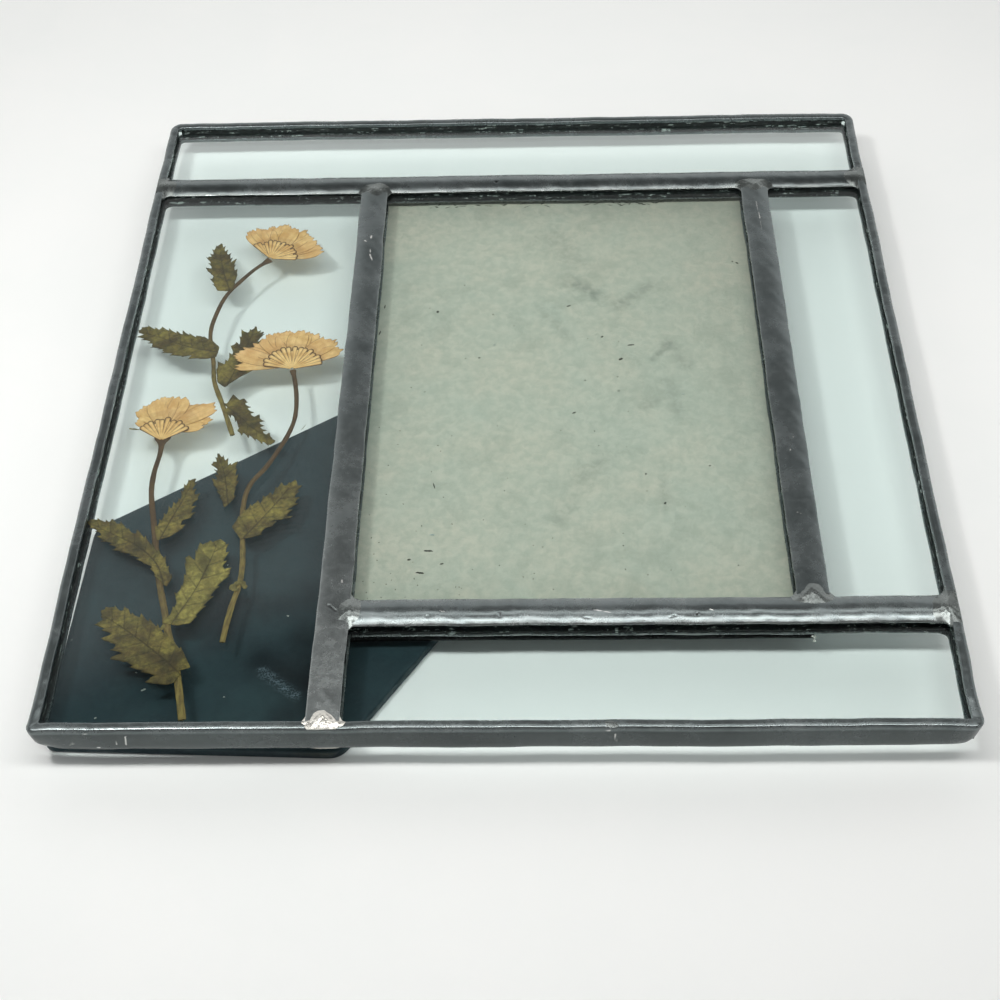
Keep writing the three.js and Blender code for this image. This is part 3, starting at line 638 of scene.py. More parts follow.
# %% Rim outline and profile
RIM_MARKS = [
    (18.0, 0, 10.2, 17.6, 0, 9.2, 0.14, 0.8),
    (17.6, 0, 9.2, 16.7, 0, 8.2, 0.14, 0.8),
    (17.4, 0, 8.2, 17.6, 0, 7.1, 0.16, 0.7),
    (14.8, 0, 7.9, 15.7, 0, 8.1, 0.2, 0.9),
    (15.7, 0, 8.1, 15.9, 0, 7.4, 0.16, 0.8),
    (10.1, 0, 10.6, 11.8, 0, 11.2, 0.2, 0.45),
    (12.0, 0, 6.6, 12.6, 0, 6.5, 0.18, 0.8),
    (7.2, 0, 7.2, 8.7, 0, 7.9, 0.25, 0.35),
    (4.2, 0.1, 10.4, 4.6, 0.1, 9.6, 0.2, 0.4),
    (103.2, 0, 11.2, 104.2, 0, 10.9, 0.25, 0.7),
    (103.6, 0, 8.7, 104.0, 0, 7.6, 0.2, 0.5),
    (105.2, 0, 9.8, 105.4, 0, 7.6, 0.22, 0.6),
    (110.0, 0, 9.0, 116.0, 0, 8.6, 0.2, -0.25),
    (36.5, 0, 9.0, 40.0, 0, 8.3, 0.12, 0.4),
]
ARC_STEPS, STRAIGHT_STEPS = 14, 500
CORNERS = {  # corner: its place, how far the top leans out, how far the foot is drawn in
    "near_left": ((0.0, 0.0), 0.45, 1.5),
    "near_right": ((FRAME_WIDTH, 0.0), 0.75, 0.9),
    "far_left": ((0.0, FRAME_HEIGHT), 0.1, 0.3),
    "far_right": ((FRAME_WIDTH, FRAME_HEIGHT), 0.1, 0.3),
}
SMALLEST_RADIUS = 0.4


def rim_outline(inset):
    """The rounded outline, moved in by inset: for each corner an arc of its radius less the inset
    round a centre at inset + that radius from both sides, then the straight to the next corner."""
    inset = np.asarray(inset, float)[:, None]
    radius = np.maximum(np.array(list(CORNER_RADII.values()))[None] - inset, SMALLEST_RADIUS)
    far_x = np.array([[1, 1, 0, 0]]) * FRAME_WIDTH
    far_y = np.array([[0, 1, 1, 0]]) * FRAME_HEIGHT
    inward_x, inward_y = np.array([[-1, -1, 1, 1]]), np.array([[1, -1, -1, 1]])
    centre = stacked(far_x + inward_x * (inset + radius), far_y + inward_y * (inset + radius))
    angles = np.radians(np.array([-90, 0, 90, 180])[:, None] + np.linspace(0, 90, ARC_STEPS))
    spokes = stacked(np.cos(angles), np.sin(angles))
    arcs = centre[:, :, None] + radius[..., None, None] * spokes[None]
    share = np.linspace(0, 1, STRAIGHT_STEPS + 2)[1:-1, None]
    ends, starts = arcs[:, :, -1:], np.roll(arcs[:, :, :1], -1, 1)
    straights = ends + (starts - ends) * share
    return np.concatenate([arcs, straights], 2).reshape(len(inset), -1, 2)


def rim_section():
    """The U lying on its side, as inset and height: a rounded outer face and two lips."""
    low, high = CAME_MIDDLE - CHANNEL / 2, CAME_MIDDLE + CHANNEL / 2
    corners = [
        (0.12, CAME_BOTTOM), (0, CAME_MIDDLE - 1.5), (0, CAME_MIDDLE + 1.5), (0.12, CAME_TOP),
        (RIM_WIDTH, CAME_TOP - 0.12), (RIM_WIDTH, high), (RIM_WALL, high),
        (RIM_WALL, low), (RIM_WIDTH, low), (RIM_WIDTH, CAME_BOTTOM + 0.12),
    ]
    return rounded_loop(corners, [0.7, 0.5, 0.5, 0.8, 0.28, 0.2, 0.1, 0.1, 0.2, 0.28], 4)


print("points round the rim:", rim_outline([0.0]).shape[1])

# %% [markdown]
# Once the profile runs round the outline, the hand work is added. The rim bulges and its lips sway in
# long ripples, its ridge is finely uneven, and each corner leans out at the top and in at the foot.

# %% Rim
CORNER_REACH = 3.6
BULGE, LIP_SWAY, TOP_RIPPLE, RIDGE_RIPPLE = 0.13, 0.07, 0.07, 0.025

rim_profile = rim_section()
rim_plan = rim_outline(rim_profile[:, 0]).transpose(1, 0, 2)
outer, inner = rim_outline([0.0, 2.0])
outward = unit(outer - inner)
steps = np.linalg.norm(np.roll(outer, -1, 0) - outer, axis=1)
travelled, around = np.concatenate([[0], np.cumsum(steps)[:-1]]), steps.sum()
rim_height = np.broadcast_to(rim_profile[:, 1], rim_plan.shape[:2])
rise = (rim_height - CAME_MIDDLE) / (CAME_TOP - CAME_MIDDLE)
bulge = BULGE * ripple(travelled, 5, 90, 9, around)[:, None]
lip = LIP_SWAY * ripple(travelled, 6, 50, 9, around)[:, None] * rise
points = np.concatenate([rim_plan, rim_height[..., None]], -1)
points[..., :2] += outward[:, None] * (bulge + lip)[..., None]
upper = rise.clip(0, 1)
points[..., 2] += TOP_RIPPLE * ripple(travelled, 7, 60, 5, around)[:, None] * upper
points[..., 2] += RIDGE_RIPPLE * ripple(travelled, 8, 9, 1.6, around)[:, None] * upper**4
for corner, lean, drawn_in in CORNERS.values():
    away = np.linalg.norm(points[..., :2] - corner, axis=-1)
    diagonal = np.sign(np.array(corner) - [FRAME_WIDTH / 2, FRAME_HEIGHT / 2]) / math.sqrt(2)
    push = lean * upper**1.5 - drawn_in * (-rise).clip(0, 1) ** 1.5
    points[..., :2] += (push * np.exp(-((away / CORNER_REACH) ** 2)))[..., None] * diagonal
ridge = np.exp(-(((rim_profile[:, 0] - 0.3) / 0.5) ** 2)) * (rim_profile[:, 1] > CAME_TOP - 0.8)
outer_face = (rim_profile[:, 0] < 0.3) * (rim_profile[:, 1] < CAME_TOP - 0.9)
rim_wear = 0.02 + 0.04 * (rim_profile[:, 1] > CAME_TOP - 0.4) + 0.05 * ridge
worn = (0.75 + 0.5 * ripple(travelled, 9, 12, 1.2, around)).clip(0.1, 1.3)[:, None]
dirt_and_shade = 1 + 0.12 * ripple(travelled, 10, 120, 30, around)[:, None]
# The outer face is darkened, as dirt and as painted shade.
wear_and_shade = rim_wear[None] * worn - 0.5 * outer_face[None] * dirt_and_shade
rim = make_piece(
    "rim_lead", points, grid_faces(*points.shape[:2], True, True), LEAD, ["rim_came"],
    attributes={"mark": mark_field(points, RIM_MARKS), "wear_and_shade": wear_and_shade},
)
print("rim is", round(around), "mm round, faces:", len(rim.data.polygons))

# %% [markdown]
# ## Solder joints
# Where two leads meet, solder joins them. It flows over both, fills the groove between them and webs
# their inner corners. So its surface starts as the leads' own: how far a point is inside the joined
# outline of the leads, found by a smooth minimum, gives the height of the crown there. A low swelling
# is added to it on a polar grid, whose edge stays on the leads and dips just under their face.

# %% Leads as one surface
CORNER_WEB, SHOULDER, OUTER_MARGIN = 2.2, 0.2, 0.3
FLANGE_UNDER = CAME_MIDDLE + CHANNEL / 2


def smooth_least(first, second, blend):
    """The lesser of two distances, rounded where they cross: min(a, b) - (k - |a - b|)^2 / 4k."""
    near = (blend - np.abs(first - second)).clip(0)
    return np.minimum(first, second) - near**2 / (4 * blend)


def inside_rim(x, y):
    """How far a point is in from the frame's outer edge."""
    return np.minimum(np.minimum(x, FRAME_WIDTH - x), np.minimum(y, FRAME_HEIGHT - y))


def edge_distance(x, y):
    """How far outside all the leads a point is, below 0 on them: the smooth least of each one's."""
    leads = [
        np.maximum(np.abs(x - LEFT_BAR_X) - HALF_BAR, y - TOP_BAR_Y),
        np.maximum(
            np.abs(x - RIGHT_BAR_X) - HALF_BAR, np.maximum(y - TOP_BAR_Y, LOW_BAR_Y - y)
        ),
        np.maximum(np.abs(y - LOW_BAR_Y) - HALF_BAR, LEFT_BAR_X - x),
        inside_rim(x, y) - RIM_WIDTH,
    ]
    joined = np.abs(y - TOP_BAR_Y) - HALF_BAR
    for lead in leads:
        joined = smooth_least(joined, lead, CORNER_WEB)
    return joined


def lead_level(x, y):
    """Top of the joined leads: the bars' crown over their own outline, or the rim's flatter face."""
    off = edge_distance(x, y)
    crown = CAME_TOP - CROWN * (1 + off / HALF_BAR).clip(0) ** CROWN_POWER
    inset = inside_rim(x, y)
    rim_face = CAME_TOP - 0.06 * inset - 2.0 * (inset - RIM_WIDTH + 0.4).clip(0) ** 2
    rounding = ((off + SHOULDER) / (SHOULDER + 0.08)).clip(0, 1)
    return -smooth_least(-crown, -rim_face, 0.3) - 0.1 * (1 - np.sqrt(1 - rounding**2))


print("level at a bar's middle:", round(float(lead_level(100.0, LOW_BAR_Y)), 2))

# %% Solder
INSET_JOINT = RIM_WIDTH + 0.3
SOLDER = {  # joint: middle, half sizes, rise of the swelling
    "top_bar_left": (INSET_JOINT, TOP_BAR_Y, 3.0, 4.6, 0.12),
    "top_bar_right": (FRAME_WIDTH - INSET_JOINT, TOP_BAR_Y, 3.0, 4.6, 0.12),
    "left_bar_top": (LEFT_BAR_X + 0.3, TOP_BAR_Y - HALF_BAR + 0.5, 4.4, 2.6, 0.22),
    "right_bar_top": (RIGHT_BAR_X + 0.2, TOP_BAR_Y - HALF_BAR + 0.3, 4.8, 2.6, 0.2),
    "low_bar_left": (LEFT_BAR_X + HALF_BAR, LOW_BAR_Y + 0.4, 2.7, 4.4, 0.24),
    "low_bar_right": (FRAME_WIDTH - INSET_JOINT, LOW_BAR_Y, 3.2, 4.8, 0.26),
    "right_bar_foot": (RIGHT_BAR_X + 0.2, LOW_BAR_Y + HALF_BAR + 0.2, 4.4, 2.6, 0.34),
    "left_bar_foot": (LEFT_BAR_X - 0.1, RIM_WIDTH + 0.1, 4.2, 2.6, 0.34),
    "rim_seam": (104.4, 1.2, 1.6, 0.9, 0.08),
}
BACK_JOINTS = ["top_bar_left", "top_bar_right", "low_bar_right", "left_bar_foot"]
BRIGHT_JOINT, LUMPS, BRIGHT_LUMPS = "left_bar_foot", 0.12, 0.22
SOLDER_SEED, SOLDER_CREASE = 60, 70
RINGS, SPOKES, TRIES = 26, 104, 90
PUDDLE_FLOOR = FLANGE_UNDER + 0.04


def puddle(x, y, half_x, half_y, rise, seed, lumps, flipped):
    """A drop on a polar grid. Its edge is an ellipse that wavers with the angle, cut where the leads
    end. Height = leads + rise (1 - r^2)^2 lumps - a dip that grows as r^8. A floor closes it."""
    angle = np.linspace(0, 2 * np.pi, SPOKES, endpoint=False)[None]
    phases = np.random.default_rng(seed).uniform(0, 2 * np.pi, 6)
    edge = 1 + 0.08 * np.sin(2 * angle + phases[0]) + 0.07 * np.sin(3 * angle + phases[1])
    edge = edge + 0.04 * np.sin(7 * angle + phases[2]) + 0.02 * np.sin(13 * angle + phases[3])
    run_x, run_y = half_x * edge * np.cos(angle), half_y * edge * np.sin(angle)
    way = np.linspace(0, 1, TRIES)[:, None]
    tried_x, tried_y = x + way * run_x, y + way * run_y
    off = edge_distance(tried_x, tried_y) - 0.08 * (1 - way**3) + 0.1 * way**3
    off = np.maximum(off, OUTER_MARGIN - inside_rim(tried_x, tried_y))
    reach = (np.maximum.accumulate(off, axis=0) <= 0).sum(0)[None] / TRIES
    r = np.linspace(0, 1, RINGS)[:, None] * reach
    plan_x, plan_y = x + r * run_x, y + r * run_y
    bumps = 1 + lumps * np.sin(2.1 * plan_x + phases[4]) * np.sin(1.7 * plan_y + phases[5])
    bumps = bumps + 0.6 * lumps * np.sin(5.3 * plan_x + phases[3]) * np.sin(4.7 * plan_y)
    level = lead_level(plan_x, plan_y) + rise * (1 - r**2) ** 2 * bumps - 0.09 * r**8
    below = stacked(plan_x[-1:], plan_y[-1:], PUDDLE_FLOOR)
    middle = np.broadcast_to([[[x, y, PUDDLE_FLOOR]]], below.shape)
    points = np.concatenate([stacked(plan_x, plan_y, level), below, middle])
    if flipped:
        points[..., 2] = 2 * CAME_MIDDLE - points[..., 2]
    return points, grid_faces(*points.shape[:2], wrap_columns=True)


for number, (joint, measures) in enumerate(SOLDER.items()):
    finish, slot, lumps = DARK_SOLDER, "lead", LUMPS
    if joint == BRIGHT_JOINT:
        finish, slot, lumps = BRIGHT_SOLDER, "bright_solder", BRIGHT_LUMPS
    for face in ["front", "back"] if joint in BACK_JOINTS else ["front"]:
        points, faces = puddle(*measures, SOLDER_SEED + number, lumps, face == "back")
        make_piece(
            f"{joint}_solder_{face}", points, faces, finish, [f"solder_{joint}_{face}"],
            crease=SOLDER_CREASE,
        )
print("solder joints:", len(SOLDER) + len(BACK_JOINTS))

# %% [markdown]
# ## Putty
# Each pane sits in putty that was pressed into the leads' channels and has gone hard and almost black.
# It touches the glass, so light that reaches the end of a pane is swallowed there. Its near-black also
# stands in for the shade in the gaps between lead and glass, a painted shade, and its pale streaks are
# painted glints. A C-shaped profile is carried round each pane. How far its mouth reaches over the glass
# depends on the side, because the rim covers less glass than a bar.

# %% Putty
RIM_COVERS, BAR_COVERS, NEAR_THE_RIM = 0.55, 1.75, 3.0
PUTTY_BEHIND, PUTTY_GRIP, PUTTY_SLACK = -0.2, 0.1, 0.03
PUTTY_STEPS, PUTTY_WAVER, MAP_LENGTH, PUTTY_SEED = 120, 0.16, 40, 200
PUTTY, tree, shader, _, place = new_finish("putty_and_gap_shade")
crumbs = effect(tree, mottling, place, Size=0.0012, Seed=0.3)
streaks = effect(tree, fibres, own_map(tree), Count=6.0, Along=12.0)
# Near-black putty, partly painted shade for the gaps in the channels, with pale streaks that are painted
# glints.
dark = coated(
    tree, mixed(tree, crumbs, rgb(8, 10, 10), rgb(32, 38, 37)),
    (ranged(tree, streaks, 0.8, 1.0), ranged(tree, crumbs, 0.55, 0.8), rgb(186, 196, 190)),
)
feed(
    tree, shader, bump=crumbs, strength=0.6, depth=0.0002, Base_Color=dark, Roughness=0.6,
    Metallic=0.0,
)


def make_putty(name, low_pane, high_pane, seed):
    """point(side, t, j) = along one side of the pane's rectangle, moved in by the profile's j-th
    depth: fixed behind and inside the glass, and at the mouth as far as that side's lead covers."""
    low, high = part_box(low_pane)[0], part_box(high_pane)[1]
    x0, y0, under = np.array(low) * 1000 - PLAN_CORNER
    x1, y1, over = np.array(high) * 1000 - PLAN_CORNER
    outer = np.array([y0, FRAME_WIDTH - x1, FRAME_HEIGHT - y1, x0])
    covers = np.where(outer < NEAR_THE_RIM, RIM_COVERS, BAR_COVERS)
    deep, ceiling = CAME_MIDDLE - CHANNEL / 2 + PUTTY_SLACK, CAME_MIDDLE + CHANNEL / 2 - PUTTY_SLACK
    fixed = np.array([PUTTY_BEHIND, 0, 0, PUTTY_GRIP, PUTTY_GRIP, 0, 0, PUTTY_BEHIND])
    mouth = np.array([0, 1, 1, 0, 0, 1, 1, 0])
    height = np.array([
        deep, deep, under - PUTTY_SLACK, under - PUTTY_SLACK,
        over + PUTTY_SLACK, over + PUTTY_SLACK, ceiling, ceiling,
    ])
    inset = fixed[None] + mouth[None] * covers[:, None]
    near, right, far, left = inset
    corners = np.array([
        [x0 + left, y0 + near], [x1 - right, y0 + near],
        [x1 - right, y1 - far], [x0 + left, y1 - far],
    ])
    starts, ends = corners, np.roll(corners, -1, 0)
    t = np.linspace(0, 1, PUTTY_STEPS, endpoint=False)[None, :, None]
    plan = starts.transpose(0, 2, 1)[:, None] * (1 - t[..., None])
    plan = plan + ends.transpose(0, 2, 1)[:, None] * t[..., None]
    inward = np.array([[0, 1], [-1, 0], [0, -1], [1, 0]])[:, None, None]
    length = np.linalg.norm((ends - starts)[:, :, 0], axis=1)[:, None]
    run = (np.cumsum(length)[:, None] - length) + length * t[0, :, 0]
    wavering = PUTTY_WAVER * ripple(run, seed, 9, 1.5)[..., None] * mouth
    plan = plan + inward * wavering[..., None]
    points = stacked(plan[..., 0], plan[..., 1], height).reshape(-1, len(height), 3)
    uv = stacked(run.reshape(-1, 1) / MAP_LENGTH, np.arange(8.0)[None] / 8)
    make_piece(name, points, grid_faces(*points.shape[:2], True, True), PUTTY, uv=uv)


PUTTIED = {pane: (f"glass_{pane}",) * 2 for pane in ("top", "right", "bottom", "picture")}
PUTTIED["flowers"] = ("glass_flowers_back", "glass_flowers_front")
for number, (pane, sheets) in enumerate(PUTTIED.items()):
    make_putty(f"putty_{pane}", *sheets, PUTTY_SEED + number)
print("putty round", len(PUTTIED), "panes")

# %% [markdown]
# ## Backing board
# Behind the window sits a card board faced with grey-green paper. With no picture in the frame, the
# paper is what shows: faintly cloudy, dusted with dark specks, and frayed along its top edge. A thin
# plate with rounded edges is a stack of the same outline, drawn in a little near each face.

# %% Plate helper
def plate(outline, bottom, top, edge, rings):
    """A plate from an outline: the outline is drawn in by edge (1 - sin a) while the height goes
    through bottom + edge (1 - cos a), the same at the top, and both faces shrink to a middle point."""
    tangent = unit(np.roll(outline, -1, 0) - np.roll(outline, 1, 0))
    inward = np.column_stack([-tangent[:, 1], tangent[:, 0]])
    middle = outline.mean(0)
    a = np.linspace(0, np.pi / 2, 5)
    inset = np.concatenate([edge * (1 - np.sin(a)), edge * (1 - np.cos(a))])
    height = np.concatenate([bottom + edge * (1 - np.cos(a)), top - edge * (1 - np.sin(a))])
    sides = outline[None] + inward[None] * inset[:, None, None]
    shrink = np.linspace(0, 1, rings)[:-1, None, None]
    under = middle + (sides[0] - middle) * shrink
    over = middle + (sides[-1] - middle) * shrink[::-1]
    flat = np.concatenate([under, sides, over])
    levels = np.concatenate([np.full(rings - 1, bottom), height, np.full(rings - 1, top)])
    points = stacked(flat[..., 0], flat[..., 1], levels[:, None])
    return points, grid_faces(*points.shape[:2], wrap_columns=True)


def resample(loop, spacing):
    """The same closed outline with points at equal steps along it."""
    closed = np.vstack([loop, loop[:1]])
    run = run_along(closed)
    at = np.linspace(0, run[-1], int(run[-1] / spacing), endpoint=False)
    return sampled(at, run, closed)


print("plate helper ready")

# %% Board finish
BOARD, tree, shader, _, place = new_finish("grey_green_paper")
blotches = effect(tree, mottling, place, Size=0.022, Seed=0.4)
grain = effect(tree, mottling, place, Size=0.0019, Seed=0.9)
stains = effect(tree, mottling, place, Size=0.009, Seed=1.7)
dots = effect(tree, specks, place, Spacing=0.006, Size=0.07, Share=0.3)
fluff = sums(tree, "MULTIPLY", noise(tree, place, 900.0, 3.0), 0.9)
frayed = ranged(tree, sums(tree, "ADD", carried(tree, "fringe"), fluff), 0.98, 1.15)
paper = coated(
    tree, mixed(tree, blotches, rgb(182, 184, 170), rgb(194, 188, 172)),
    (carried(tree, "faded"), 1.0, rgb(178, 168, 152)),
    (grain, 0.5, rgb(154, 159, 145)),
    (ranged(tree, stains, 0.6, 1.0), 0.3, rgb(148, 152, 138)),
    (carried(tree, "smudge"), ranged(tree, grain, 0.0, 1.0, 0.55, 1.0), rgb(116, 122, 110)),
    (dots, 0.5, rgb(92, 98, 88)),
    (frayed, 0.8, rgb(84, 88, 70)),
)
feed(
    tree, shader, bump=grain, strength=0.4, depth=0.0002, Base_Color=paper, Roughness=0.82,
    Metallic=0.0,
)
print("finish:", BOARD.name)

# %% Board
PICTURE_WIDTH, PICTURE_HEIGHT = 88.9, 127.0
POCKET_NEAR, STRIP_WALL, BOARD_SLACK = LOW_BAR_Y - 0.4, 0.7, 0.4
BOARD_LEFT, BOARD_NEAR = LEFT_BAR_X + HEART / 2, POCKET_NEAR + STRIP_WALL + BOARD_SLACK
BOARD_RIGHT, BOARD_FAR = BOARD_LEFT + PICTURE_WIDTH, BOARD_NEAR + PICTURE_HEIGHT
BOARD_BOTTOM, BOARD_TOP = 3.5, 4.8
BOARD_WARP, FRINGE_WIDTH = 0.05, 2.4

board_corners = [
    (BOARD_LEFT, BOARD_NEAR), (BOARD_RIGHT, BOARD_NEAR),
    (BOARD_RIGHT, BOARD_FAR), (BOARD_LEFT, BOARD_FAR),
]
board_outline = resample(rounded_loop(board_corners, 0.8), 0.9)
points, faces = plate(board_outline, BOARD_BOTTOM, BOARD_TOP, 0.25, 44)
points[..., 2] += BOARD_WARP * ripple(points[..., 0] + 0.6 * points[..., 1], 71, 90, 20)
fringe = 1 - ((BOARD_FAR - points[..., 1]) / FRINGE_WIDTH).clip(0, 1)
across_board = (points[..., 0] - BOARD_LEFT) / (BOARD_RIGHT - BOARD_LEFT)
up_board = (points[..., 1] - BOARD_NEAR) / (BOARD_FAR - BOARD_NEAR)
faded = 0.5 * ((across_board - 0.45) * 2).clip(0, 1) * ((up_board - 0.4) * 2).clip(0, 1)
SMUDGES = on_level(BOARD_TOP, [
    (95.0, 141.0, 101.0, 131.0, 2.6, 0.3), (99.5, 124.0, 104.5, 120.5, 1.7, 0.6),
    (104.5, 119.0, 111.0, 116.0, 1.4, 0.4), (111.0, 116.5, 117.5, 123.0, 1.5, 0.4),
    (117.0, 98.5, 120.5, 103.5, 0.7, 0.6), (120.5, 103.5, 124.0, 97.0, 1.7, 0.35),
    (119.5, 92.0, 121.5, 83.0, 1.5, 0.35), (114.0, 84.0, 117.0, 86.0, 1.1, 0.3),
    (93.0, 115.0, 98.5, 105.5, 1.4, 0.25), (101.5, 64.5, 105.5, 70.0, 2.4, 0.25),
    (95.5, 53.5, 98.5, 57.0, 1.8, 0.28), (117.3, 70.5, 117.2, 54.5, 0.5, 0.25),
    (62.0, 30.0, 74.0, 33.0, 3.0, 0.2),
])
board = make_piece(
    "backing_board_paper", points, faces, BOARD, ["backing_board"],
    attributes={"fringe": fringe, "faded": faded, "smudge": mark_field(points, SMUDGES)},
)
print("board faces:", len(board.data.polygons))

# %% [markdown]
# ## Flecks
# Old paper holds dark grit and hairs, and lint lies on the leg. Texture specks are even, but these lie
# where they lie, so each is a tiny irregular scale of its own: a few rings on a polar grid, stretched
# and turned. All the scales of one kind are computed together and joined in one mesh.

# %% Grit and lint finishes
def speckled(name, dark, light):
    """A dull finish for grit and lint: two tones in fine mottling."""
    material, tree, shader, _, place = new_finish(name)
    tone = effect(tree, mottling, place, Size=0.0004, Seed=0.2)
    feed(
        tree, shader, bump=tone, strength=0.3, depth=0.00005,
        Base_Color=mixed(tree, tone, dark, light), Roughness=0.8, Metallic=0.0,
    )
    return material


GRIT = speckled("dark_grit", rgb(30, 32, 28), rgb(70, 68, 54))
LINT = speckled("pale_lint", rgb(128, 138, 132), rgb(190, 196, 188))
print("finishes:", GRIT.name, LINT.name)

# %% Flecks
FLECK_THICKNESS, FLECK_DOME = 0.03, 0.04
BOARD_GRIT = [  # x, y, half length, half width, angle
    (106.0, 105.8, 0.26, 0.24, 0), (109.9, 98.7, 0.42, 0.36, 20), (112.3, 103.1, 0.62, 0.22, 8),
    (137.8, 129.9, 0.34, 0.2, -20), (136.8, 130.4, 0.26, 0.15, -30), (69.2, 114.6, 0.34, 0.26, 0),
    (70.4, 62.3, 0.8, 0.13, 100), (69.9, 45.2, 0.75, 0.26, -8), (68.5, 39.7, 0.65, 0.26, -6),
    (72.7, 41.9, 0.32, 0.2, 30), (66.2, 43.0, 0.32, 0.26, 60), (113.8, 65.0, 0.22, 0.16, 0),
    (117.3, 57.1, 0.26, 0.24, 0), (127.0, 67.1, 0.2, 0.16, 0), (78.9, 99.6, 0.2, 0.18, 0),
    (98.8, 116.0, 0.4, 0.22, 30), (99.4, 82.6, 0.42, 0.14, 40), (103.6, 77.2, 0.14, 0.12, 0),
    (57.1, 116.5, 0.7, 0.12, 80), (56.5, 107.9, 0.6, 0.15, 70), (55.9, 93.1, 0.4, 0.12, 85),
]
dust, DUST_COUNT, HAIR_COUNT = np.random.default_rng(77), 90, 34
cloud = np.column_stack([
    BOARD_LEFT + 3 + 80 * dust.beta(1.0, 2.2, DUST_COUNT),
    BOARD_NEAR + 3 + 110 * dust.beta(0.8, 2.6, DUST_COUNT),
    dust.uniform(0.06, 0.16, DUST_COUNT), dust.uniform(0.05, 0.12, DUST_COUNT),
    dust.uniform(0, 180, DUST_COUNT),
])
hairs = np.column_stack([
    dust.uniform(64, 122, HAIR_COUNT), BOARD_FAR - dust.uniform(1.6, 2.9, HAIR_COUNT),
    dust.uniform(0.25, 0.8, HAIR_COUNT), dust.uniform(0.06, 0.16, HAIR_COUNT),
    dust.normal(0, 24, HAIR_COUNT),
])
BOARD_LINT = [
    (70.5, 49.3, 0.5, 0.26, -20), (122.8, 87.8, 0.26, 0.2, 0), (82.2, 103.6, 0.3, 0.12, 40),
]
LEG_LINT = [
    (38.3, 57.8, 0.3, 0.2, 60), (17.6, 14.3, 0.4, 0.22, 20), (48.8, 36.0, 0.2, 0.14, 0),
    (15.6, 18.2, 0.22, 0.16, 0), (43.1, 31.3, 0.24, 0.16, 30), (29.8, 44.0, 0.2, 0.14, 0),
    (9.6, 8.1, 0.22, 0.15, 0), (12.4, 3.6, 0.34, 0.24, 10), (33.0, 12.6, 0.16, 0.12, 0),
]


def make_flecks(name, rows, level, finish, body="frame", rings=4, spokes=11):
    """scale(k, r, a) = middle(k) + r size(k) (1 + 0.3 sin(2a + k) + 0.15 sin(5a)), turned by its
    angle, on a dome whose height falls as 1 - r^2."""
    x, y, long, wide, degrees = np.array(rows, float).T[:, :, None, None]
    number = np.arange(len(rows))[:, None, None]
    r = np.linspace(0, 1, rings)[None, :, None]
    a = np.linspace(0, 2 * np.pi, spokes, endpoint=False)[None, None]
    edge = r * (1 + 0.3 * np.sin(2 * a + number) + 0.15 * np.sin(5 * a + 2 * number))
    along, across = long * edge * np.cos(a), wide * edge * np.sin(a)
    cos, sin = np.cos(np.radians(degrees)), np.sin(np.radians(degrees))
    plan = [x + along * cos - across * sin, y + along * sin + across * cos]
    points = stacked(*plan, level + FLECK_DOME * (1 - r**2))
    faces = grid_faces(rings, spokes, wrap_columns=True, copies=len(rows))
    thicken(make_piece(name, points, faces, finish, body=body), FLECK_THICKNESS)


make_flecks("board_grit", np.vstack([BOARD_GRIT, cloud, hairs]), BOARD_TOP + 0.06, GRIT)
make_flecks("board_lint", BOARD_LINT, BOARD_TOP + 0.07, LINT)
print("flecks on the board:", len(BOARD_GRIT) + len(cloud) + len(hairs) + len(BOARD_LINT))

# %% [markdown]
# ## Pocket strips
# Three strips of thin lead, folded to an L and soldered on behind the window, hold the board. They were
# cut with snips, so their edges are uneven, and a curled sliver of bright lead hangs from the visible
# one. That one's foot was pressed outwards and shows under the low bar, darkened as dark patina and as
# painted shade.

# %% Pocket strips
STRIP_BOTTOM, STRIP_TOP = 2.7, 5.0
STRIP_LIP, STRIP_LIP_THICKNESS = 3.0, 0.5
# The last of these darkens the low strip to near black: dark patina, and painted shade under the low
# bar.
SNIPPED, STRIP_WANDER, FLARED, DARK_PATINA_AND_SHADE = 0.12, 0.10, 1.25, -0.92


def make_strip(name, along_x, start, end, line, inward, seed, flare=0.3, rubbed=0.2):
    """An L carried along a line: point = station + section, with the wall's edge cut unevenly. Its wear
    goes to every point; on the low strip it is below 0, for dark patina and painted shade.
    """
    corners = [
        (-inward * 0.3, STRIP_TOP - 0.4), (-inward * flare, STRIP_BOTTOM + 0.5),
        (-inward * flare, STRIP_BOTTOM), (inward * STRIP_LIP, STRIP_BOTTOM),
        (inward * STRIP_LIP, STRIP_BOTTOM + STRIP_LIP_THICKNESS),
        (inward * STRIP_WALL, STRIP_BOTTOM + STRIP_LIP_THICKNESS),
        (inward * STRIP_WALL, STRIP_TOP), (0, STRIP_TOP),
    ]
    section = rounded_loop(corners, 0.12, 5)
    stations = np.linspace(start, end, int((end - start) / 0.5))[:, None]
    across, height = section[None, :, 0], section[None, :, 1]
    cut = (height > STRIP_TOP - 0.6) * SNIPPED * ripple(stations, seed, 14, 1.2)
    across = across + STRIP_WANDER * ripple(stations, seed + 1, 50, 8)
    points = turned_along(stacked(stations, line + across, height + cut), along_x)
    make_piece(
        f"{name}_lead", points, tube_faces(points), LEAD, [name],
        attributes={"mark": np.zeros(points.shape[:2]), "wear_and_shade": np.full(points.shape[:2], rubbed)},
    )


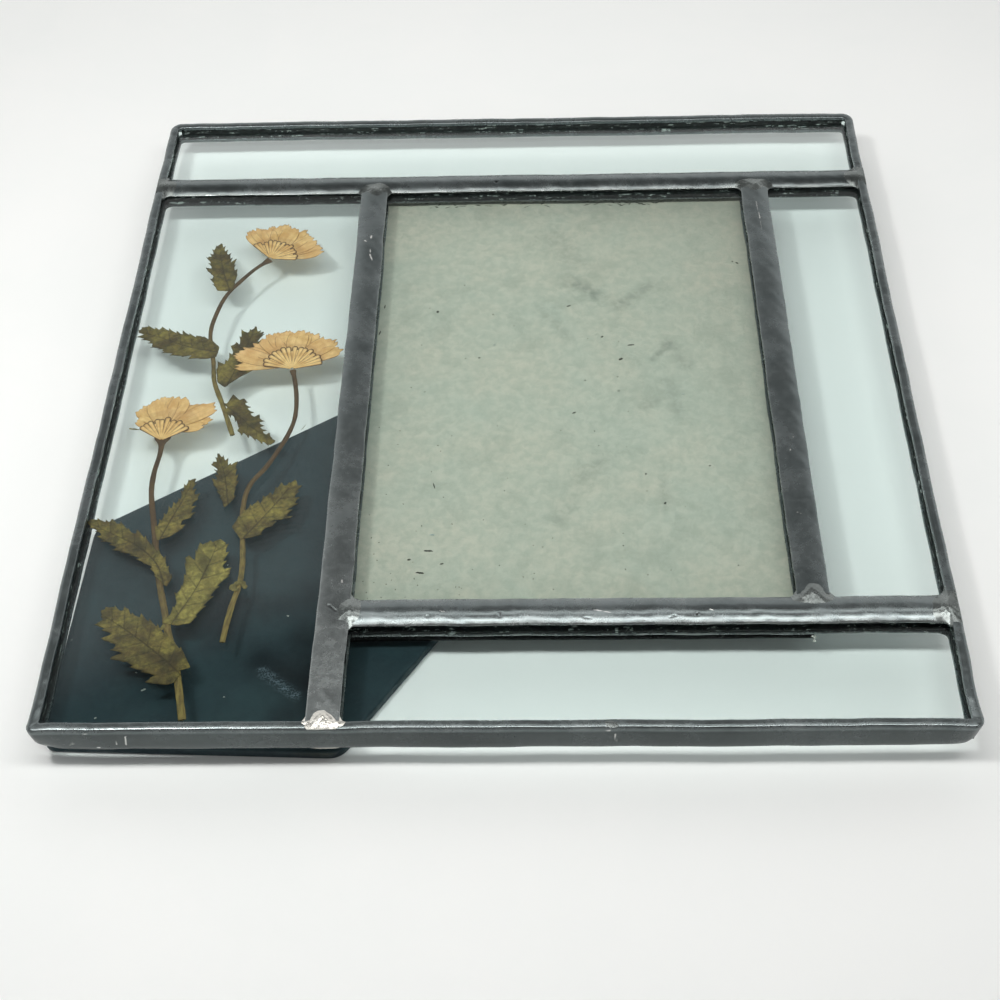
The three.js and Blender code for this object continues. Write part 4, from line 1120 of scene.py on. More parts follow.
SIDE_START, SIDE_END = POCKET_NEAR + STRIP_LIP + 0.3, TOP_BAR_Y - 2
make_strip("pocket_strip_left", False, SIDE_START, SIDE_END, LEFT_BAR_X - 0.4, 1, 81)
make_strip("pocket_strip_right", False, SIDE_START, SIDE_END, RIGHT_BAR_X + 0.4, -1, 83)
make_strip(
    "pocket_strip_bottom", True, LEFT_BAR_X + 1, RIGHT_BAR_X + 0.5, POCKET_NEAR, 1, 85, FLARED, DARK_PATINA_AND_SHADE
)
print("pocket strips: 3")

# %% Sliver of lead
SLIVER = [
    (142.6, 22.9, 6.3), (143.4, 22.8, 6.0), (143.1, 22.8, 5.0), (143.7, 23.2, 4.2),
    (143.5, 24.2, 3.3),
]
SLIVER_WIDTH, SLIVER_THICKNESS, SLIVER_STEPS = 0.6, 0.12, 40


def make_sliver():
    """ribbon(u, v) = the line through the sliver's points, at u, plus v across it. Its width follows
    a sine, so both ends are narrow."""
    route = np.array(SLIVER)
    line = sampled(np.linspace(0, len(route) - 1, SLIVER_STEPS), np.arange(len(route)), route)
    taper = np.sin(np.linspace(0.5, 2.9, SLIVER_STEPS))[:, None, None]
    v = np.linspace(-0.5, 0.5, 4)[None, :, None] * SLIVER_WIDTH * taper
    points = line[:, None] + v * np.array([0.35, 0.3, 0.88])
    flat = np.zeros(points.shape[:2])
    curl = make_piece(
        "strip_sliver", points, grid_faces(*points.shape[:2]), BRIGHT_SOLDER,
        attributes={"mark": flat, "wear_and_shade": flat + 0.3},
    )
    return thicken(curl, SLIVER_THICKNESS)


print("sliver faces:", len(make_sliver().data.polygons))

# %% [markdown]
# ## Easel leg and tab
# The leg is thin board wrapped in dark blue-grey leatherette, hinged by a crease to a tab that is glued
# under the window's board. Leatherette has a fine pebble grain, shines a little, and rubs through to an
# olive lining at the foot. The grain is a Voronoi pattern in the bump, and the rubbed places are marks.
# Dark patches on the leg are a painted reflection, and its dark near edge is a painted shadow of the
# rim.

# %% Leatherette finish
LEATHERETTE, tree, shader, _, place = new_finish("leatherette")
marks = carried(tree, "mark")
tone = effect(tree, mottling, place, Size=0.03, Seed=2.1)
grime = effect(tree, mottling, place, Size=0.004, Seed=0.2)
hairs = effect(tree, scratches, place, Length=0.03, Gap=0.0016, Turn=-0.7, Thin=0.004)
dots = effect(tree, specks, place, Spacing=0.007, Size=0.035, Share=0.25)
pebbles = node(tree, "TexVoronoi", {"Vector": place, "Scale": 1500.0}).outputs["Distance"]
streaks = ranged(tree, noise(tree, place, 3600.0, 3.0), 0.46, 0.6)
skin = coated(
    tree, mixed(tree, tone, rgb(32, 51, 57), rgb(42, 62, 66)),
    (grime, 0.3, rgb(20, 34, 41)),
    (hairs, 0.12, rgb(104, 120, 126)),
    # The shade attribute paints near-black: patches as a painted reflection, and the near edge as a
    # painted shadow of the rim.
    (carried(tree, "shade"), 0.95, rgb(3, 10, 17)),
    (dots, 0.5, rgb(120, 130, 126)),
    (ranged(tree, marks, 0.1, 1.0), streaks, rgb(128, 146, 158)),
    (ranged(tree, marks, -0.1, -1.0), 1.0, rgb(88, 86, 48)),
)
feed(
    tree, shader, bump=pebbles, strength=0.35, depth=0.00008, Specular_IOR_Level=0.2,
    Base_Color=skin, Roughness=ranged(tree, grime, 0.0, 1.0, 0.42, 0.6), Metallic=0.0,
)
print("finish:", LEATHERETTE.name)

# %% Leg and tab
LEG_THICKNESS, LEG_LENGTH, LEG_TOP_WIDTH = 2.4, 153.0, 30.4
FOOT_CORNER, FOOT_NEAR, FOOT_LEFT = (2.3, 2.8), (39.9, -37.5), (39.2, 38.0)
TAB_START, TAB_END, TAB_TOP = 153.4, 167.4, 3.2
LEG_TURN, LEG_FOOT = math.radians(45), np.array([0.6, -0.6])
LEG_CORNER, LEG_EDGE, LEG_SWELL = 2.5, 0.5, 0.04
LEG_MARKS = on_level(LEG_THICKNESS, [(39.4, 18.4, 46.4, 12.8, 1.3, 0.6)])
LEG_MARKS += on_level(1.6, [(47.0, 0.0, 56.0, 0.0, 1.3, -0.8)])
# Where the leg is painted darker: patches as a painted reflection, and its near edge as a painted shadow
# under the rim.
LEG_SHADES = on_level(LEG_THICKNESS, [
    (32.6, 35.0, 31.2, 27.5, 2.6, 0.75), (38.5, 33.5, 47.0, 35.5, 3.4, 0.45),
    (39.0, 21.0, 48.0, 15.0, 3.6, 0.8), (46.0, 26.0, 51.0, 18.0, 3.4, 0.6),
    (44.0, 8.0, 50.0, 10.0, 2.6, 0.4),
]) + on_level(1.0, [(2.0, 0.5, 55.0, 0.5, 1.9, 0.95)])


def leg_to_plan(along_across):
    """Along and across the leg become the frame's plan, turned by 45 degrees about the foot."""
    along, across = np.asarray(along_across, float).T
    cos, sin = math.cos(LEG_TURN), math.sin(LEG_TURN)
    return np.column_stack([cos * along - sin * across, sin * along + cos * across]) + LEG_FOOT


def make_board_piece(name, corners, top, node_name, body):
    """A covered board from its corners, as a plate with softly rounded edges."""
    outline = resample(leg_to_plan(rounded_loop(corners, LEG_CORNER, 9)), 0.6)
    points, faces = plate(outline, 0.0, top, LEG_EDGE, 40)
    swell = LEG_SWELL * ripple(points[..., 0] - points[..., 1], 91, 40, 6)
    points[..., 2] += swell * (points[..., 2] > 0.9 * top)
    make_piece(
        name, points, faces, LEATHERETTE, [node_name], body=body,
        attributes={
            "mark": mark_field(points, LEG_MARKS), "shade": mark_field(points, LEG_SHADES),
        },
    )


half_top = LEG_TOP_WIDTH / 2
make_board_piece(
    "leg_cover",
    [FOOT_CORNER, FOOT_NEAR, (LEG_LENGTH, -half_top), (LEG_LENGTH, half_top), FOOT_LEFT],
    LEG_THICKNESS, "easel_leg", "leg",
)
make_board_piece(
    "tab_cover",
    [(TAB_START, -half_top), (TAB_END, -half_top), (TAB_END, half_top), (TAB_START, half_top)],
    TAB_TOP, "easel_tab", "frame",
)
make_flecks("leg_lint", LEG_LINT, LEG_THICKNESS + 0.05, LINT, "leg")
print("leg and tab covered")

# %% [markdown]
# ## Dried plants: finishes
# Pressing and drying turns white petals to cream and tan, with browned edges and fine veins. Leaves go
# olive and brown with dark veins, and stems redden. Each piece carries its own map, across and along,
# so the pattern follows the way it grew. Fibres, edges and mottling are the shared effects again.

# %% Petal and bract finishes
PETAL, tree, shader, _, place = new_finish("dried_petal")
own = own_map(tree)
edge = effect(tree, dry_edge, own, Side=0.12, Tip=0.05)
lines = effect(tree, fibres, own, Count=6.0, Along=0.7)
clouds = effect(tree, mottling, place, Size=0.003, Seed=0.6)
blush = effect(tree, mottling, place, Size=0.007, Seed=2.6)
along = node(tree, "SeparateXYZ", {0: own}).outputs[1]
cream = coated(
    tree, mixed(tree, clouds, rgb(198, 156, 86), rgb(234, 202, 138)),
    (blush, 0.4, rgb(208, 158, 112)),
    (lines, 0.4, rgb(188, 142, 80)),
    # Painted shade: the petals darken towards their roots, where the bracts shade them.
    (ranged(tree, along, 0.54, 0.46, 0.0, 0.2), 1.0, rgb(116, 74, 36)),
    (edge, 0.6, rgb(118, 78, 40)),
)
feed(
    tree, shader, bump=lines, strength=0.3, depth=0.0001, Base_Color=cream, Roughness=0.72,
    Metallic=0.0,
)

BRACT, tree, shader, _, place = new_finish("dried_bract")
own = own_map(tree)
edge = effect(tree, dry_edge, own, Side=0.66, Tip=0.1)
lines = effect(tree, fibres, own, Count=5.0, Along=0.8)
clouds = effect(tree, mottling, place, Size=0.0025, Seed=0.8)
gold = coated(
    tree, mixed(tree, clouds, rgb(204, 160, 94), rgb(238, 204, 138)),
    (lines, 0.3, rgb(164, 118, 62)),
    (edge, 1.0, rgb(62, 36, 16)),
)
feed(
    tree, shader, bump=lines, strength=0.3, depth=0.0001, Base_Color=gold, Roughness=0.7,
    Metallic=0.0,
)
print("finishes:", PETAL.name, BRACT.name)

# %% Leaf and stem finishes
def leaf_finish(name, dark, light, brown):
    """Olive with brown patches, darker veins (an attribute) and a dry edge."""
    material, tree, shader, _, place = new_finish(name)
    veins = carried(tree, "vein")
    edge = effect(tree, dry_edge, own_map(tree), Side=0.1, Tip=0.03)
    clouds = effect(tree, mottling, place, Size=0.0045, Seed=1.2)
    fine = effect(tree, mottling, place, Size=0.0009, Seed=0.5)
    patches = effect(tree, mottling, place, Size=0.003, Seed=3.3)
    blade = coated(
        tree, mixed(tree, clouds, dark, light),
        (patches, 0.5, brown),
        (fine, 0.65, dark),
        (veins, 0.8, rgb(44, 36, 16)),
        (edge, 0.4, rgb(70, 62, 32)),
    )
    feed(
        tree, shader, bump=sums(tree, "SUBTRACT", fine, veins), strength=0.7, depth=0.0002,
        Base_Color=blade, Roughness=0.75, Metallic=0.0,
    )
    return material


LEAF = leaf_finish("dried_leaf", rgb(48, 44, 15), rgb(150, 137, 60), rgb(92, 66, 28))
GREEN_LEAF = leaf_finish("dried_green_leaf", rgb(70, 66, 22), rgb(178, 166, 80), rgb(108, 90, 38))

STEM, tree, shader, _, place = new_finish("dried_stem")
own = own_map(tree)
lines = effect(tree, fibres, own, Count=7.0, Along=30.0)
clouds = effect(tree, mottling, place, Size=0.004, Seed=0.1)
along = node(tree, "SeparateXYZ", {0: own}).outputs[1]
bark = coated(
    tree, mixed(tree, ranged(tree, along, 0.3, 0.9), rgb(68, 48, 22), rgb(120, 108, 46)),
    (lines, 0.6, rgb(46, 30, 14)),
    (clouds, 0.22, rgb(140, 110, 62)),
)
feed(
    tree, shader, bump=lines, strength=0.5, depth=0.0001, Base_Color=bark, Roughness=0.7,
    Metallic=0.0,
)
print("finishes:", LEAF.name, GREEN_LEAF.name, STEM.name)

# %% [markdown]
# ## Leaves
# A pressed leaf is a flat blade with toothed lobes. Its outline is the CAD plate's own, so the leaf fits
# its solid, and small spikes are added where side veins end. Between base and tip the outline has a left
# and a right side, and a midrib runs down the middle: the blade is a grid from midrib to edge. Rows of
# the grid slant forward as side veins do, so veins, puckers and colours can follow them. The leaves lie
# just over the stems, and one has slipped under the petals.

# %% A plate's outline
def outline_of(name):
    """A CAD plate's outline in plan: the edges used by one upward face, joined end to end."""
    flat = bmesh.new()
    flat.from_mesh(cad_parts[name].data)
    bmesh.ops.remove_doubles(flat, verts=flat.verts, dist=1e-6)
    hidden = [face for face in flat.faces if face.normal.z < 0.5]
    bmesh.ops.delete(flat, geom=hidden, context="FACES")
    start = next(edge for edge in flat.edges if edge.is_boundary).verts[0]
    loop, current, last = [], start, None
    while current is not start or not loop:
        loop.append(current.co[:2])
        onward = [
            edge.other_vert(current)
            for edge in current.link_edges
            if edge.is_boundary and edge.other_vert(current) is not last
        ]
        last, current = current, onward[0]
    flat.free()
    loop = np.array(loop) * 1000 - PLAN_CORNER[:2]
    x, y = loop.T
    area = (x * np.roll(y, -1) - y * np.roll(x, -1)).sum()
    return loop if area > 0 else loop[::-1]


print("points round one leaf's plate:", len(outline_of("upper_flower_leaf_a")))

# %% [markdown]
# A midrib is a smooth curve through a few points. Each edge of the leaf becomes a function of the way
# from base to tip, so that the blade can be a grid between the midrib and its two edges.

# %% Midrib and edges
SLANT = 0.7


def smooth_path(route, spacing=0.15):
    """A curve through every point of a route: between two points, the Catmull-Rom cubic."""
    p = np.asarray(route, float)
    p = np.vstack([2 * p[0] - p[1], p, 2 * p[-1] - p[-2]])
    a, b, c, d = p[:-3], p[1:-2], p[2:-1], p[3:]
    t = np.linspace(0, 1, 24, endpoint=False)[None, :, None]
    a, b, c, d = (q[:, None] for q in (a, b, c, d))
    squares, cubes = 2 * a - 5 * b + 4 * c - d, 3 * b - a - 3 * c + d
    curve = 0.5 * (2 * b + (c - a) * t + squares * t**2 + cubes * t**3)
    curve = np.vstack([curve.reshape(-1, 2), p[-2:-1]])
    run = run_along(curve)
    return sampled(np.linspace(0, run[-1], max(int(run[-1] / spacing), 8)), run, curve)


def leaf_side(side, midrib, stations):
    """One edge of the blade as a function of the way from base to tip. Each outline point belongs to
    the midrib point that lies behind it by 0.7 of its distance, as side veins do. A share of the
    way along the edge is mixed in, so that the function never turns back at a tooth."""
    gaps = np.linalg.norm(side[:, None] - midrib[None], axis=2)
    nearest, distance = gaps.argmin(1) / (len(midrib) - 1), gaps.min(1)
    root = (nearest - SLANT * distance / run_along(midrib)[-1]).clip(0, 1)
    run = run_along(side)
    way = 0.7 * np.maximum.accumulate(root) + 0.3 * run / run[-1]
    way = (way - way[0]) / (way[-1] - way[0])
    return sampled(stations, way, side)


print("a straight midrib of 3 mm has", len(smooth_path([(0, 0), (3, 0)])), "points")

# %% [markdown]
# The blade fills the grid. Its veins are pressed in, it puckers between them, its edge curls a little,
# and a small random wiggle makes the outline look torn.

# %% Leaf blade
UNDER_PETALS, OVER_STEMS = 8.18, 8.78
SPIKES_PER_VEIN, SPIKE_LENGTH, VEIN_LAG = 1.6, 1.05, 0.37
TORN, PUCKER, CURL = 0.05, 0.035, 0.09
LEAF_GRID, LEAF_THICKNESS, PLANT_CREASE = (321, 19), 0.13, 80


def make_leaf(name, midrib, veins, finish, seed, level):
    """blade(u, v) = midrib(u) + |v| (edge(u) - midrib(u)), with the left edge where v < 0. Beyond
    the plate's own lobes come spikes, each of which grows as the fourth power of the way to it."""
    loop = resample(outline_of(name), 0.12)
    rng = np.random.default_rng(seed)
    wiggle = rng.normal(0, 1, (len(loop), 2))
    soft = np.exp(-np.linspace(-2, 2, 9) ** 2)
    soft /= soft.sum()
    loop = np.column_stack([
        np.convolve(np.concatenate([axis[-4:], axis, axis[:4]]), soft, "valid")
        for axis in (loop + TORN * wiggle).T
    ])
    rib = smooth_path(midrib)
    base = np.linalg.norm(loop - rib[0], axis=1).argmin()
    loop = np.roll(loop, -base, axis=0)
    tip = np.linalg.norm(loop - rib[-1], axis=1).argmin()
    right, left = loop[: tip + 1], np.vstack([loop[tip:], loop[:1]])[::-1]
    u, w = np.linspace(0, 1, LEAF_GRID[0]), np.linspace(-1, 1, LEAF_GRID[1])
    v = np.sign(w) * np.abs(w) ** 1.4
    middle = sampled(u, np.linspace(0, 1, len(rib)), rib)
    middle[0], middle[-1] = loop[0], loop[tip]
    edges = np.stack([leaf_side(left, rib, u), leaf_side(right, rib, u)])
    forward = unit(np.gradient(middle, axis=0))
    for edge, lag in zip(edges, (0.0, VEIN_LAG)):
        outward = edge - middle
        outward /= np.linalg.norm(outward, axis=1, keepdims=True) + 1e-6
        growth = ((u * SPIKES_PER_VEIN * veins + lag) % 1) ** 4 * np.sin(np.pi * u).clip(0) ** 0.4
        edge += SPIKE_LENGTH * growth[:, None] * (0.75 * outward + 0.65 * forward)
    reach = np.where(v[None, :, None] < 0, edges[0][:, None], edges[1][:, None]) - middle[:, None]
    plan = middle[:, None] + np.abs(v)[None, :, None] * reach
    width = np.linalg.norm(reach, axis=2) * np.abs(v)[None]
    beat = (u[:, None] * veins + np.where(v < 0, 0.0, VEIN_LAG)[None] - 0.25 * np.abs(v)[None]) % 1
    side_vein = np.exp(-(((beat - 0.5) / 0.055) ** 2)) * (1 - 0.6 * np.abs(v)[None])
    rib_vein = np.exp(-((width / (0.16 * (1.25 - u[:, None]))) ** 2))
    vein = np.maximum(side_vein * 0.8, rib_vein)
    pucker = PUCKER * np.sin(2 * np.pi * beat) * np.abs(v)[None]
    curl = CURL * ripple(u[:, None] * 20 + 4 * v[None], seed, 18, 4) * np.abs(v)[None]
    height = (level + pucker + curl - 0.03 * vein).clip(level - 0.12, level + 0.16)
    points = np.concatenate([plan, height[..., None]], -1)
    uv = stacked(0.5 + 0.5 * v[None], u[:, None])
    blade = make_piece(
        f"{name}_blade", points, grid_faces(*points.shape[:2]), finish, [name],
        attributes={"vein": vein}, uv=uv, crease=PLANT_CREASE,
    )
    thicken(blade, LEAF_THICKNESS)


print("leaf grid:", LEAF_GRID)

# %% Leaves
LEAF_SEED = 100
LEAVES = {  # leaf: its midrib from base to tip, number of side veins, finish
    "upper_flower_leaf_a": ([(21.9, 119.2), (20, 124.5), (18.6, 130), (17.8, 135.2)], 6, LEAF),
    "upper_flower_leaf_b": ([(21.8, 99), (15, 100.8), (9, 103.5), (3.2, 106)], 7, LEAF),
    "upper_flower_leaf_c": ([(25, 89.5), (26.3, 95), (27.7, 101), (28.9, 107.2)], 6, LEAF),
    "upper_flower_leaf_d": ([(25.2, 83), (28.6, 79.6), (32.5, 75.6), (37, 72.2)], 6, LEAF),
    "middle_flower_leaf_a": ([(29.4, 55), (28.4, 60), (27.4, 64), (25.7, 68.5)], 6, LEAF),
    "middle_flower_leaf_b": ([(33.6, 46.4), (36.6, 51), (39.6, 56), (42.2, 61)], 6, LEAF),
    "lower_flower_leaf_a": ([(17, 46.2), (18.6, 51.5), (20.2, 56.5), (21.5, 61.8)], 6, LEAF),
    "lower_flower_leaf_b": ([(19.4, 35), (17, 40.2), (12.4, 44.6), (7, 47.6), (2, 50.5)], 8, LEAF),
    "lower_flower_leaf_c": ([(22.6, 26), (25.6, 33), (27.6, 40), (28.7, 45.6)], 6, GREEN_LEAF),
    "lower_flower_leaf_d": ([(25.8, 13.6), (20.5, 18.6), (14.5, 23.4), (8.6, 27.6)], 7, LEAF),
}
for number, (name, measures) in enumerate(LEAVES.items()):
    layer = UNDER_PETALS if name == "upper_flower_leaf_c" else OVER_STEMS
    make_leaf(name, *measures, LEAF_SEED + number, layer)
SCRAPS = [  # torn bits by the plants: x, y, half length, half width, angle
    (7.0, 76.0, 1.1, 0.22, -15), (42.7, 76.0, 0.7, 0.07, 60), (33.2, 34.4, 1.0, 0.7, 50),
    (34.9, 34.6, 1.1, 0.6, -40), (33.4, 33.4, 0.9, 0.4, 20), (20.8, 24.5, 0.9, 0.3, 70),
]
make_flecks("plant_scraps", SCRAPS, OVER_STEMS + 0.08, GREEN_LEAF, rings=6, spokes=22)
print("leaves:", len(LEAVES))

# %% [markdown]
# ## Stems
# A pressed stem is a crushed tube: wide, low and grooved along its length, flaring where it enters the
# flower head. Its profile is a flattened ring whose radius rises and falls five times round, carried
# along the stem's path with a width that grows towards the cut end.

# %% Stems
STEM_LEVEL, STEM_RISE, STEM_SWAY, STEM_SEED = 8.5, 0.2, 0.09, 130
GROOVES, GROOVE_DEPTH, GROOVE_POINTS = 5, 0.12, 24
STEMS = {  # stem: its route from the flower down, width at the head, at the cut, and flare
    "upper_flower_stem": (
        [(29.9, 129.9), (29.2, 129.2), (26.6, 126.4), (23.6, 122), (21.3, 117.8), (20, 113),
         (19.2, 107), (19.7, 102), (21, 96.5), (22.1, 90), (24.5, 83.7), (26.2, 79), (27.9, 74.3)],
        0.9, 1.0, 0.9,
    ),
    "middle_flower_stem": (
        [(38.7, 93.4), (38.9, 92.6), (39.7, 89), (40.4, 84), (40.5, 79), (39.7, 74.8), (38, 70),
         (35.8, 65), (33.4, 61), (32.5, 57), (32.6, 51), (33.3, 46), (34, 40), (34, 35),
         (33.2, 30), (32.7, 25.5), (32.4, 21.2)],
        0.9, 1.1, 0.5,
    ),
    "lower_flower_stem": (
        [(13.2, 74.2), (13.3, 72.8), (13.4, 69), (13, 64), (13.2, 59), (14.4, 53), (15.8, 47),
         (17.2, 40.5), (18.8, 34), (20.3, 29), (21.8, 23.6), (23.7, 18.4), (25, 13.6),
         (26.2, 8.6), (27.3, 4)],
        1.0, 1.4, 2.6,
    ),
}


def make_stem(name, route, head, cut, flare, seed):
    """ring(i, a) = path(i) + half-width(i) groove(a) cos a across + rise groove(a) sin a up, where
    groove(a) = 1 + depth cos(5a + 0.6)."""
    path = smooth_path(route, 0.2)
    way = np.linspace(0, 1, len(path))
    run = way * run_along(path)[-1]
    tangent = unit(np.gradient(path, axis=0))
    across = np.column_stack([-tangent[:, 1], tangent[:, 0], np.zeros(len(path))])
    half = (head + (cut - head) * way + flare * np.exp(-((run / 1.6) ** 2))) / 2
    half = half * (1 + STEM_SWAY * ripple(run, seed, 12, 1.5))
    angle = np.linspace(0, 2 * np.pi, GROOVE_POINTS, endpoint=False)[None]
    groove = 1 + GROOVE_DEPTH * np.cos(GROOVES * angle + 0.6)
    spread = half[:, None] * groove * np.cos(angle)
    centre = np.column_stack([path, np.full(len(path), STEM_LEVEL)])
    points = centre[:, None] + spread[..., None] * across[:, None]
    points[..., 2] += STEM_RISE * groove * np.sin(angle)
    uv = stacked(angle / (2 * np.pi), way[:, None])
    faces = tube_faces(points)
    make_piece(f"{name}_tube", points, faces, STEM, [name], uv=uv, crease=PLANT_CREASE)


for number, (name, measures) in enumerate(STEMS.items()):
    make_stem(name, *measures, STEM_SEED + number)
print("stems:", len(STEMS))

# %% [markdown]
# ## Flower heads
# The daisies were pressed sideways, so each shows half its petals as a fan and, below them, the cup of
# bracts that held the bud. A petal is a strap: narrow at the root, widest near the end, with a softly
# notched tip. A bract is a short finger. Both are one function of two parameters, and a whole fan is
# made as one array. A short list gives the front petals' directions, lengths and widths. The petals of
# the back row, which show in the gaps, are worked out from their neighbours, and the bracts are spread
# almost evenly.

# %% Flower heads
HEADS = {  # petals: direction in degrees, length, width; cup: radius, from and to in degrees, count
    "upper_flower": {
        "heart": (31, 130.6),
        "neck": (30, 130),
        "petals": [
            (131, 12, 3), (118, 12.1, 3.4), (104, 11, 3.8), (89, 11.8, 4.4), (71, 11.4, 4.4),
            (51, 11.3, 4.4), (32, 11, 4.2), (11, 11.4, 4.2),
        ],
        "cup": (6.4, -2, 130, 13),
    },
    "middle_flower": {
        "heart": (38.5, 94.7),
        "neck": (38.6, 93.6),
        "petals": [
            (178, 12.6, 2.6), (163, 13.4, 4.4), (144, 11.7, 4.4), (126, 11.8, 4.8),
            (107, 11.3, 4.8), (88, 11.3, 4.8), (67, 11.2, 4.8), (47, 11.6, 4.8), (29, 11.7, 3.8),
        ],
        "cup": (6.9, 14, 166, 15),
    },
    "lower_flower": {
        "heart": (13.2, 75.8),
        "neck": (13.2, 72.8),
        "petals": [
            (150, 7, 3.4), (130, 9, 4.2), (111, 9.6, 4.4), (92, 10, 4.4), (72, 10.3, 4.6),
            (56, 9, 3.6), (36, 12.6, 4.2), (9, 8.6, 2.8),
        ],
        "cup": (6.4, 35, 143, 10),
    },
}


def fan(root, angles, reach, sideways, height):
    """Points of a fan of straps: root + reach along each direction + sideways across it."""
    cos, sin = np.cos(angles), np.sin(angles)
    x = root[0] + reach * cos - sideways * sin
    y = root[1] + reach * sin + sideways * cos
    return stacked(x, y, height)


print("front petals:", sum(len(head["petals"]) for head in HEADS.values()))

# %% [markdown]
# Petals overlap, so every second one lies a little higher, and the back row lies lowest. Each has fine
# lengthwise veins, a wave along it and a curl across it, with phases drawn for each petal.

# %% Petals
PETAL_LEVEL, PETAL_GRID, PETAL_THICKNESS = 8.45, (30, 19), 0.07
PETAL_SEED, BACK_ROW_SEED = 150, 170


def two_rows(petals, seed):
    """The listed petals over a back row between them, each narrower and of uneven length."""
    front = np.array(petals, float)
    back = (front[:-1] + front[1:]) / 2
    rng = np.random.default_rng(seed)
    back[:, 0] += rng.uniform(-3, 3, len(back))
    back[:, 1] *= rng.uniform(0.94, 1.06, len(back))
    back[:, 2] *= rng.uniform(0.5, 0.85, len(back))
    return np.vstack([back, front])


def make_petals(name, heart, petals, seed):
    """petal(u, v): reach = root + (length - root) u (1 - 0.15 |v|^3 u^3 - notch), half-width rises as
    a sine to its widest at u = 0.65, height = level + a curl that grows with v^2 + fine veins."""
    degrees, length, width = (column[:, None, None] for column in np.array(petals, float).T)
    count = len(petals)
    rng = np.random.default_rng(seed)
    phase = rng.uniform(0, 2 * np.pi, (3, count, 1, 1))
    steps_u, steps_v = PETAL_GRID
    u, v = np.linspace(0, 1, steps_u)[None, :, None], np.linspace(-1, 1, steps_v)[None, None, :]
    notch = 0.07 * (0.5 + 0.5 * np.cos(3 * np.pi * v + 1.5 * np.sin(phase[0]))) * u**9
    notch = notch + 0.035 * np.sin(5 * v + phase[1]) * u**6
    root = 0.22 * length
    reach = root + (length - root) * u * (1 - 0.15 * np.abs(v) ** 3 * u**3 - notch)
    swell = 0.45 + 0.55 * np.sin(np.minimum(u / 0.65, 1) * np.pi / 2)
    half = width / 2 * swell * (1 - 0.16 * ((u - 0.7) / 0.3).clip(0, 1) ** 2)
    bend = np.radians(degrees) + 0.05 * np.sin(phase[1]) * u**2
    front = np.arange(count) >= count // 2
    order = (np.array([0.0, 0.05])[np.arange(count) % 2] + 0.06 * front)[:, None, None]
    curl = 0.07 * np.sin(phase[2]) * v * np.abs(v) + 0.05 * v**2 * u
    veins = 0.012 * np.cos(9 * np.pi * v)
    wave = 0.03 * np.sin(5 * u + phase[0])
    height = PETAL_LEVEL - 0.03 + order + curl + veins + wave
    points = fan(heart, bend, reach, half * v, height)
    uv = stacked(0.5 + 0.5 * v, u + 0 * degrees)
    faces = grid_faces(*PETAL_GRID, copies=count)
    petals_piece = make_piece(
        f"{name}_fan", points, faces, PETAL, [f"{name}_petals"], uv=uv, crease=PLANT_CREASE,
    )
    thicken(petals_piece, PETAL_THICKNESS)


print("petals of one head, with its back row:", len(two_rows([(0, 1, 1)] * 8, BACK_ROW_SEED)))

# %% [markdown]
# The bracts stand round the cup like short fingers, side by side. Their first row lies on a second,
# shorter one, and each finger is a low ridge.

# %% Bracts and whole heads
BRACT_LEVEL, BRACT_GRID, BRACT_THICKNESS, BRACT_SEED = 8.80, (22, 11), 0.05, 160


def make_bracts(name, neck, cup, seed):
    """finger(u, v): reach = radius u less a round tip, half-width grows slowly, and the height is a
    ridge 1 - v^2 over the cup. A second, shorter row lies between the first."""
    radius, start, end, count = cup
    first = np.linspace(start, end, count)
    second = (first[:-1] + first[1:]) / 2
    degrees = np.concatenate([second, first])[:, None, None]
    size = np.concatenate([np.full(count - 1, 0.86), np.full(count, 1.0)])[:, None, None]
    rng = np.random.default_rng(seed)
    size = size * (1 + 0.05 * rng.uniform(-1, 1, size.shape))
    steps_u, steps_v = BRACT_GRID
    u, v = np.linspace(0, 1, steps_u)[None, :, None], np.linspace(-1, 1, steps_v)[None, None, :]
    pitch = radius * np.radians((end - start) / (count - 1))
    half = pitch * 0.5 * (0.22 + 0.78 * u**0.85)
    reach = radius * size * (0.06 + 0.94 * u) - half * (1 - np.sqrt(1 - 0.96 * v**2)) * u**3
    row = np.concatenate([np.zeros(count - 1), np.full(count, 0.05)])[:, None, None]
    height = BRACT_LEVEL - 0.08 + row + 0.09 * (1 - v**2) * (0.5 + 0.5 * u)
    lean = np.radians(degrees + rng.uniform(-2.5, 2.5, degrees.shape))
    points = fan(neck, lean, reach, half * v, height)
    uv = stacked(0.5 + 0.5 * v, u + 0 * degrees)
    faces = grid_faces(*BRACT_GRID, copies=len(degrees))
    cup_piece = make_piece(
        f"{name}_cup", points, faces, BRACT, [f"{name}_bracts"], uv=uv, crease=PLANT_CREASE,
    )
    thicken(cup_piece, BRACT_THICKNESS)


for number, (name, head) in enumerate(HEADS.items()):
    rows = two_rows(head["petals"], BACK_ROW_SEED + number)
    make_petals(name, head["heart"], rows, PETAL_SEED + number)
    make_bracts(name, head["neck"], head["cup"], BRACT_SEED + number)
print("flower heads:", len(HEADS))

# %% [markdown]
# ## Table and light
# The table is plain and pale. Two lamps hang close over the frame's near edge: a long one, which makes
# the shadows of the cross bars, and a small one to the left. A fill over the far side evens out the
# table, so it lights dull surfaces alone. A card over the middle puts a sheen on the leads and is seen
# in reflections alone.

